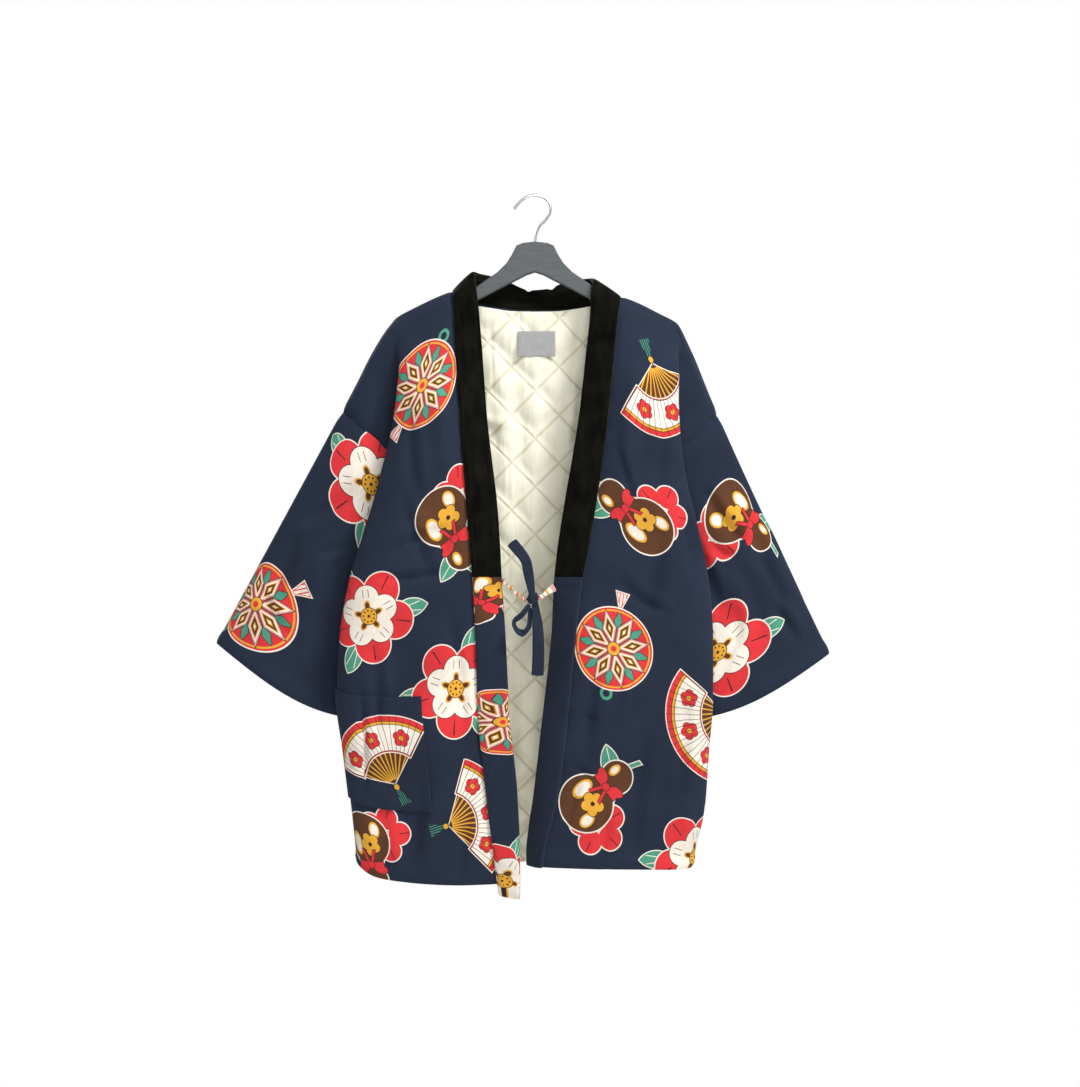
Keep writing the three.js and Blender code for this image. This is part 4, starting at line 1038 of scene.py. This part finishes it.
def cotton_velvet():
    """Black cotton velvet, cut pile. It swallows light seen straight on and its sheen turns soft brown-grey
    where the pile turns away. Its colour is also lifted towards brown-grey as painted sheen, in streaks
    along the band where the pile has been pressed and in patches."""
    made, tree = blank_material("cotton_velvet")
    place = node(tree, "TexCoord")["Object"]
    along = node(tree, "Mapping", {0: node(tree, "UVMap", uv_map="cloth"), 3: (160, 22, 1)})
    pressed = node(tree, "TexNoise", {"Vector": along, "Scale": 1.0, "Detail": 4.0})
    patch = node(tree, "TexNoise", {"Vector": place, "Scale": 26.0, "Detail": 3.0})  # 40 mm across
    pile = node(tree, "TexNoise", {"Vector": place, "Scale": 900.0, "Detail": 1.0})  # tufts, drawn coarse
    # painted sheen: the pressed streaks along the band and the 40 mm patches mix the black towards a
    # lighter brown-grey
    painted_sheen = most(pressed * 1.1 + patch * 0.9 - 0.75, 0)
    ink = node(tree, "Mix", {0: painted_sheen, 6: colour("#050504"), 7: colour("#1c1b15")}, data_type="RGBA")[2]
    height = pile * 0.5 + patch * 6 + pressed * 3
    return sewn_finish(made, ink, height, lift=0.0006, roughness=1.0, sheen=0.26, speck=0.06,
                       tint="#a39f92", haze=0.32)


collar.data.materials.append(cotton_velvet())
ridden(collar, "black_velvet", "collar_velvet")

# ---------- pocket ----------
# A patch pocket of the same print on the right front, one layer of cotton without wadding. Its edges are
# turned in and stitched down at the sides and the bottom, and it follows the folds of the front below it.
POCKET = {"high": 528, "low": 676, "inner": 1.25, "outer": 3.9}  # mm down, and along a course's nine points
POCKET_WALL = 2
POCKET_CLEAR = 1.4
POCKET_PRINTS = [(66, -604, -25, 1.0, folding_fan)]
rows = np.linspace(POCKET["low"], POCKET["high"], 44)
front = through(courses("right", "front", rows), np.linspace(POCKET["inner"], POCKET["outer"], 48))
front = creased(front, -1, BODY_CREASES["right"])
patch = front + outward(front, -1) * (POCKET_WALL + POCKET_CLEAR)
flat = np.stack(np.meshgrid(run_along(patch[20]), -rows), axis=-1)  # measured along a row near its middle
pocket, _ = padded_shell("patch_pocket", patch, POCKET_WALL, -1, flat)
printed(pocket, POCKET_PRINTS)
ridden(pocket, "printed_cotton", "pocket")

# ---------- lining ----------
# Cream cotton over wadding, machine quilted in 70 mm diamonds, lies inside the back. Its stitched lines
# sink and the wadding between them stands up. Its edges are caught in the collar's seam and the hem.
LINING = {"wide": 350, "top": -166, "hem": -964, "clear": 1.5, "wall": 1.6, "rise": 6.2}
LINING_ROWS = 46  # quarters of a diamond, from top to bottom
LINING_COLUMNS = 20
FINE = 4  # rows and columns of faces in each quarter
NECK_HALF = 85
back_sheets = {}
for side in SIDES:
    back = through(courses(side, "back", downs(BACK_LONG)[4:]), np.linspace(0, 3, 40))
    back_sheets[side] = creased(back, SIDES[side]["sign"], BODY_CREASES[side])


def back_inside(x, z):
    """Depth of the back's inner face behind a column of spots at one x."""
    sheet = back_sheets["right" if x < 0 else "left"]
    depths, heights = (np.array([np.interp(abs(x), np.abs(row[:, 0]), row[:, k]) for row in sheet])
                       for k in (1, 2))
    return np.interp(-z, -heights, depths) - PADDED - LINING["clear"]


def lining_top(x):
    """The lining's top edge dips behind the neck and falls off over the shoulders."""
    out = abs(x)
    return 8 * (out / NECK_HALF) ** 2 if out < NECK_HALF else 8 - 48 * math.sin((out - NECK_HALF) / 64) ** 2


columns = []
i = np.linspace(0, LINING_ROWS, LINING_ROWS * FINE + 1)
j = np.linspace(0, LINING_COLUMNS, LINING_COLUMNS * FINE + 1)
for x in np.linspace(-LINING["wide"] / 2, LINING["wide"] / 2, len(j)):
    z = lerp(LINING["top"], LINING["hem"], i / LINING_ROWS) + lining_top(x) * np.maximum(0, 1 - i / 6)
    columns.append(np.stack([np.full_like(z, x), back_inside(x, z), z], axis=1))
grid = np.stack(columns, axis=1)
rising, falling = (np.abs((i[:, None] + k * j) % 4 - 2) / 2 for k in (1, -1))
puff = (1 - rising**2.6) * (1 - falling**2.6)
x, z = grid[..., 0], grid[..., 2]
bunched = np.sin(x / 3.4 + 1.6 * np.sin(z / 61) + z / 210)  # narrow upright gathers, in patches
bunched = bunched * np.sin(x / 23 + z / 83 + 2) * np.sin(z / 47 + x / 19)
puff = puff * (0.84 + 0.16 * np.sin(x / 31 + z / 57)) - 0.22 * puff**1.5 * np.maximum(0, bunched)
grid[..., 1] -= LINING["wall"] + LINING["rise"] * puff
lining, _ = padded_shell("quilted_back_lining", grid, LINING["wall"], -1, grid[..., [0, 2]])
lining.data.materials.append(quilted_cream(True))
ridden(lining, "quilted_lining", "lining_back")

# ---------- label ----------
# A small label, woven from fine grey thread and left blank. It is sewn along its edges to the lining, below
# the middle of the neck.
LABEL = {"wide": 54, "high": 36, "x": 2, "z": -212, "thick": 0.8}
u, v = np.meshgrid(np.linspace(-0.5, 0.5, 24), np.linspace(0.5, -0.5, 16))
x, z = LABEL["x"] + u * LABEL["wide"], LABEL["z"] + v * LABEL["high"]
(right_low, right_high), (left_low, left_high) = (back_inside(x[0, k], z[[-1, 0], 0]) for k in (0, -1))
depth = lerp(lerp(right_high, right_low, 0.5 - v), lerp(left_high, left_low, 0.5 - v), u + 0.5)
depth = depth - LINING["wall"] - LINING["rise"] - SEAM_GAP - LABEL["thick"]
face = np.stack([x, depth, z], axis=-1)
label, _ = padded_shell("blank_label", face, LABEL["thick"], -1, face[..., [0, 2]])


def woven_satin():
    """A label woven from fine grey polyester: smoother than the cotton, with a fleck of dark threads."""
    made, tree = blank_material("woven_satin")
    height, slub = weave(tree, 0.5)
    ink = node(tree, "Mix", {0: slub, 6: colour("#838386"), 7: colour("#b1b1b0")}, data_type="RGBA")[2]
    return sewn_finish(made, ink, height, lift=0.00012, roughness=0.6, sheen=0.05, speck=0.5)


label.data.materials.append(woven_satin())
ridden(label, "woven_label", "label")

# ---------- ties ----------
# Two sewn cotton ties close the front with a half bow: each comes out of the seam below the velvet, and
# past the knot there are a tail that stands up, a tail that hangs down and a small loop.
RIBBON_THICK = 2
KNOT_AT = np.array([-3, -86, -580])
# The run of each tie: places across, back and up, its width there, and how far it leans off the front.
TIES = {
    "tie_right": [[-45, -70, -556, 9, 0], [-36, -75, -564, 6, 0], [-22, -80, -577, 6, 0],
                  [-13, -83, -583, 6, 0]],
    "tie_left": [[27, -54, -566, 12, 0], [18, -66, -572, 8, 0], [11, -76, -577, 6, 0],
                 [6, -81, -580, 6, 0]],
    "tie_tail_up": [[-4, -86, -574, 9, 0.1], [-9, -88, -545, 15, 0.3], [-14, -90, -525, 16, 0.5],
                    [-32, -90, -502, 16, 0.2]],
    "tie_tail_down": [[0, -86, -586, 9, 0], [4, -88, -620, 15, 0.1], [5, -86, -655, 17, -0.1],
                      [4, -84, -688, 17.5, 0]],
    "tie_loop": [[-8, -91, -590, 7, 0.4], [-18, -93, -603, 9, 0.7], [-29, -92, -613, 10, 1.0],
                 [-26, -90, -624, 11, 1.2], [-17, -87, -629, 11, 1.2], [-9, -85, -621, 9, 0.8],
                 [-7, -84, -608, 7, 0.5], [-7, -84.5, -595, 6, 0.3]],
}
TWIST = {"tie_right": 5 * math.pi, "tie_left": 0.9}
KNOT_HALF = [7.8, 6, 9]
WRAP_HALF = [7.4, 6, 8.6]
# The turns round the knot: how far each is tilted, how far above its middle, and its width.
WRAPS = {"knot_wrap_over": (0.5, 0, 9), "knot_wrap_under": (-1.0, -3, 7)}
# Narrow stripes across a tie, in mm: how often each comes, where it starts, half its width and its ink.
STRIPES = [(17, 3, 1.3, RED), (11, 7, 0.9, BROWN), (23, 14, 2.0, GOLD)]


def tie_print(name, slant):
    """The same cotton, cut where a motif was: cream, red, gold and brown run together in narrow stripes."""
    made, tree = blank_material(name)
    height, slub = weave(tree, THREAD)
    grain = node(tree, "SeparateXYZ", {0: node(tree, "UVMap", uv_map="cloth")})
    down = grain[1] / MM + grain[0] / MM * slant + 5 * slub
    ink = inked(colour(CREAM), [(abs((down + start) % every - every / 2) - half, tint)
                                for every, start, half, tint in STRIPES])
    return sewn_finish(made, ink, height, lift=0.0002, roughness=0.88, sheen=0.1, speck=0.2)


TIE_PRINTS = {"tie_right": tie_print("tie_print_twisted", 0.9),
              "tie_left": tie_print("tie_print_striped", 0.25)}
for name, stations in TIES.items():
    stations = np.array(stations, float)
    last = len(stations) - 1
    at = np.linspace(0, last, 16 * last + 1)
    line = through(stations[None, :, :3], at)[0]
    wide, lean = (smooth(np.arange(last + 1), stations[:, k])(at) for k in (3, 4))
    lean = lean + TWIST.get(name, 0) * at / last
    run = unit(np.gradient(line, axis=0))
    front = np.stack([np.sin(lean), -np.cos(lean), 0 * lean], axis=1)
    if name == "tie_right":
        level = unit(np.cross(run, [0, 0, 1]))
        front = level * np.cos(lean)[:, None] + np.cross(run, level) * np.sin(lean)[:, None]
    aside = unit(np.cross(run, front)) * wide[:, None] / 2
    tie = filled_strip(name + "_cloth", line - aside, line + aside, RIBBON_THICK, 16, run_along(line))
    tie.data.materials.append(TIE_PRINTS.get(name, PRINTED_CLOTH[0]))
    ridden(tie, "tie_cotton", name)
turn = np.linspace(0, 2 * math.pi, 33)
rise = np.linspace(0, math.pi, 21)[:, None]
girth = np.sin(rise) * (1 + 0.07 * np.sin(3 * turn + 1) * np.sin(rise))
ball = np.stack([girth * np.cos(turn), girth * np.sin(turn), np.cos(rise) + 0 * girth], axis=-1)
ball = (ball * KNOT_HALF + KNOT_AT).reshape(-1, 3)
knot, _ = made_mesh("tie_knot_cloth", ball, grid_quads(*girth.shape), ball[:, [0, 2]])
knot.data.materials.append(PRINTED_CLOTH[0])
ridden(knot, "tie_cotton", "tie_knot")
turn = np.linspace(0, 2 * math.pi, 49)
for name, (tilt, lift, wide) in WRAPS.items():
    ring = np.stack([np.cos(turn) * math.cos(tilt), -np.sin(turn), np.cos(turn) * math.sin(tilt)], axis=1)
    ring = ring * WRAP_HALF + KNOT_AT + [0, 0, lift]
    aside = np.array([-math.sin(tilt), 0, math.cos(tilt)]) * wide / 2
    wrap = filled_strip(name, ring - aside, ring + aside, RIBBON_THICK, 14, run_along(ring))
    wrap.data.materials.append(PRINTED_CLOTH[0])
    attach(wrap, "root")

# ---------- hanger ----------
# A flat hanger, sawn from board and lacquered dark grey. Its hook is bright plated wire, turned into a hole
# in the middle of its top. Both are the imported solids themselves, with their finishes laid on.


def lacquered_board():
    """Beech under a satin charcoal lacquer: the grain hardly shows and the edges catch a soft light."""
    made, tree = blank_material("lacquered_board")
    along = node(tree, "Mapping", {0: node(tree, "TexCoord")["Object"], 3: (12, 40, 160)})
    grain = node(tree, "TexNoise", {"Vector": along, "Scale": 3.0, "Detail": 5.0})
    ink = node(tree, "Mix", {0: grain, 6: colour("#363b3d"), 7: colour("#54595b")}, data_type="RGBA")[2]
    bump = node(tree, "Bump", {"Height": grain, "Strength": 0.25, "Distance": 0.0004})
    surface = node(tree, "BsdfPrincipled", {
        "Base Color": ink, "Roughness": 0.42, "Coat Weight": 0.25, "Coat Roughness": 0.3, "Normal": bump})
    node(tree, "OutputMaterial", {"Surface": surface})
    return made


def plated_wire():
    """Steel wire with a bright nickel plate, faintly drawn along its length."""
    made, tree = blank_material("plated_wire")
    place = node(tree, "TexCoord")["Object"]
    drawn = node(tree, "TexNoise", {"Vector": place, "Scale": 260.0, "Detail": 2.0})  # marks 4 mm apart
    rough = node(tree, "MapRange", {"Value": drawn, "To Min": 0.3, "To Max": 0.42})
    surface = node(tree, "BsdfPrincipled", {
        "Base Color": colour("#d9dadb"), "Metallic": 1.0, "Roughness": rough})
    node(tree, "OutputMaterial", {"Surface": surface})
    return made


for name, material in (("hanger_body", lacquered_board()), ("hanger_hook", plated_wire())):
    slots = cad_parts[name].data.materials
    slots.clear()
    slots.append(material)

# ---------- floor and light ----------
# A round pale floor well below the coat, and a white room, dimmer than its wall looks, so that the large
# soft lights shape the cloth: the key from above on one side, a fill from low in front and one behind.
AIMED_AT = Vector((0, 0, -0.55))
FLOOR = {"radius": 2.2, "middle": [0, -0.3, -2.2], "sides": 64}
LIGHTS = {  # its place, how wide it is in metres and its watts
    "key_light": ((1.3, -1.4, 1.6), 0.8, 88),
    "fill_light": ((0.1, -2.8, -0.8), 1.2, 32),
    "back_light": ((-1.9, 2.0, 0.7), 1.4, 60),
}
turn = np.linspace(0, 2 * math.pi, FLOOR["sides"], endpoint=False)
rim = np.stack([np.cos(turn), np.sin(turn), 0 * turn], axis=1) * FLOOR["radius"] + FLOOR["middle"]
floor_mesh = bpy.data.meshes.new("floor")
floor_mesh.from_pydata(rim.tolist(), [], [list(range(FLOOR["sides"]))])
floor = bpy.data.objects.new("floor", floor_mesh)
bpy.context.scene.collection.objects.link(floor)
floor_paint, tree = blank_material("white_studio_floor")
surface = node(tree, "BsdfPrincipled", {"Base Color": colour("#f4f3f1"), "Roughness": 0.8})
node(tree, "OutputMaterial", {"Surface": surface})
floor_mesh.materials.append(floor_paint)
for name, (place, wide, power) in LIGHTS.items():
    lamp = bpy.data.lights.new(name, "AREA")
    lamp.size = wide
    lamp.energy = power
    light = bpy.data.objects.new(name, lamp)
    light.location = place
    light.rotation_euler = (AIMED_AT - light.location).to_track_quat("-Z", "Y").to_euler()
    bpy.context.scene.collection.objects.link(light)
room = bpy.data.worlds.new("room")
room.use_nodes = True
sky = room.node_tree
sky.nodes.clear()
high = node(sky, "SeparateXYZ", {0: node(sky, "TexCoord")["Generated"]})[2]
glow = node(sky, "MapRange", {"Value": high, "From Min": -1.0, "To Min": 0.06, "To Max": 0.6})
seen = node(sky, "LightPath")["Is Camera Ray"]
wall = node(sky, "Background", {"Color": (1, 1, 1, 1), "Strength": most(seen, glow)})
node(sky, "OutputWorld", {"Surface": wall})
bpy.context.scene.world = room
bpy.context.scene.view_settings.view_transform = "Standard"
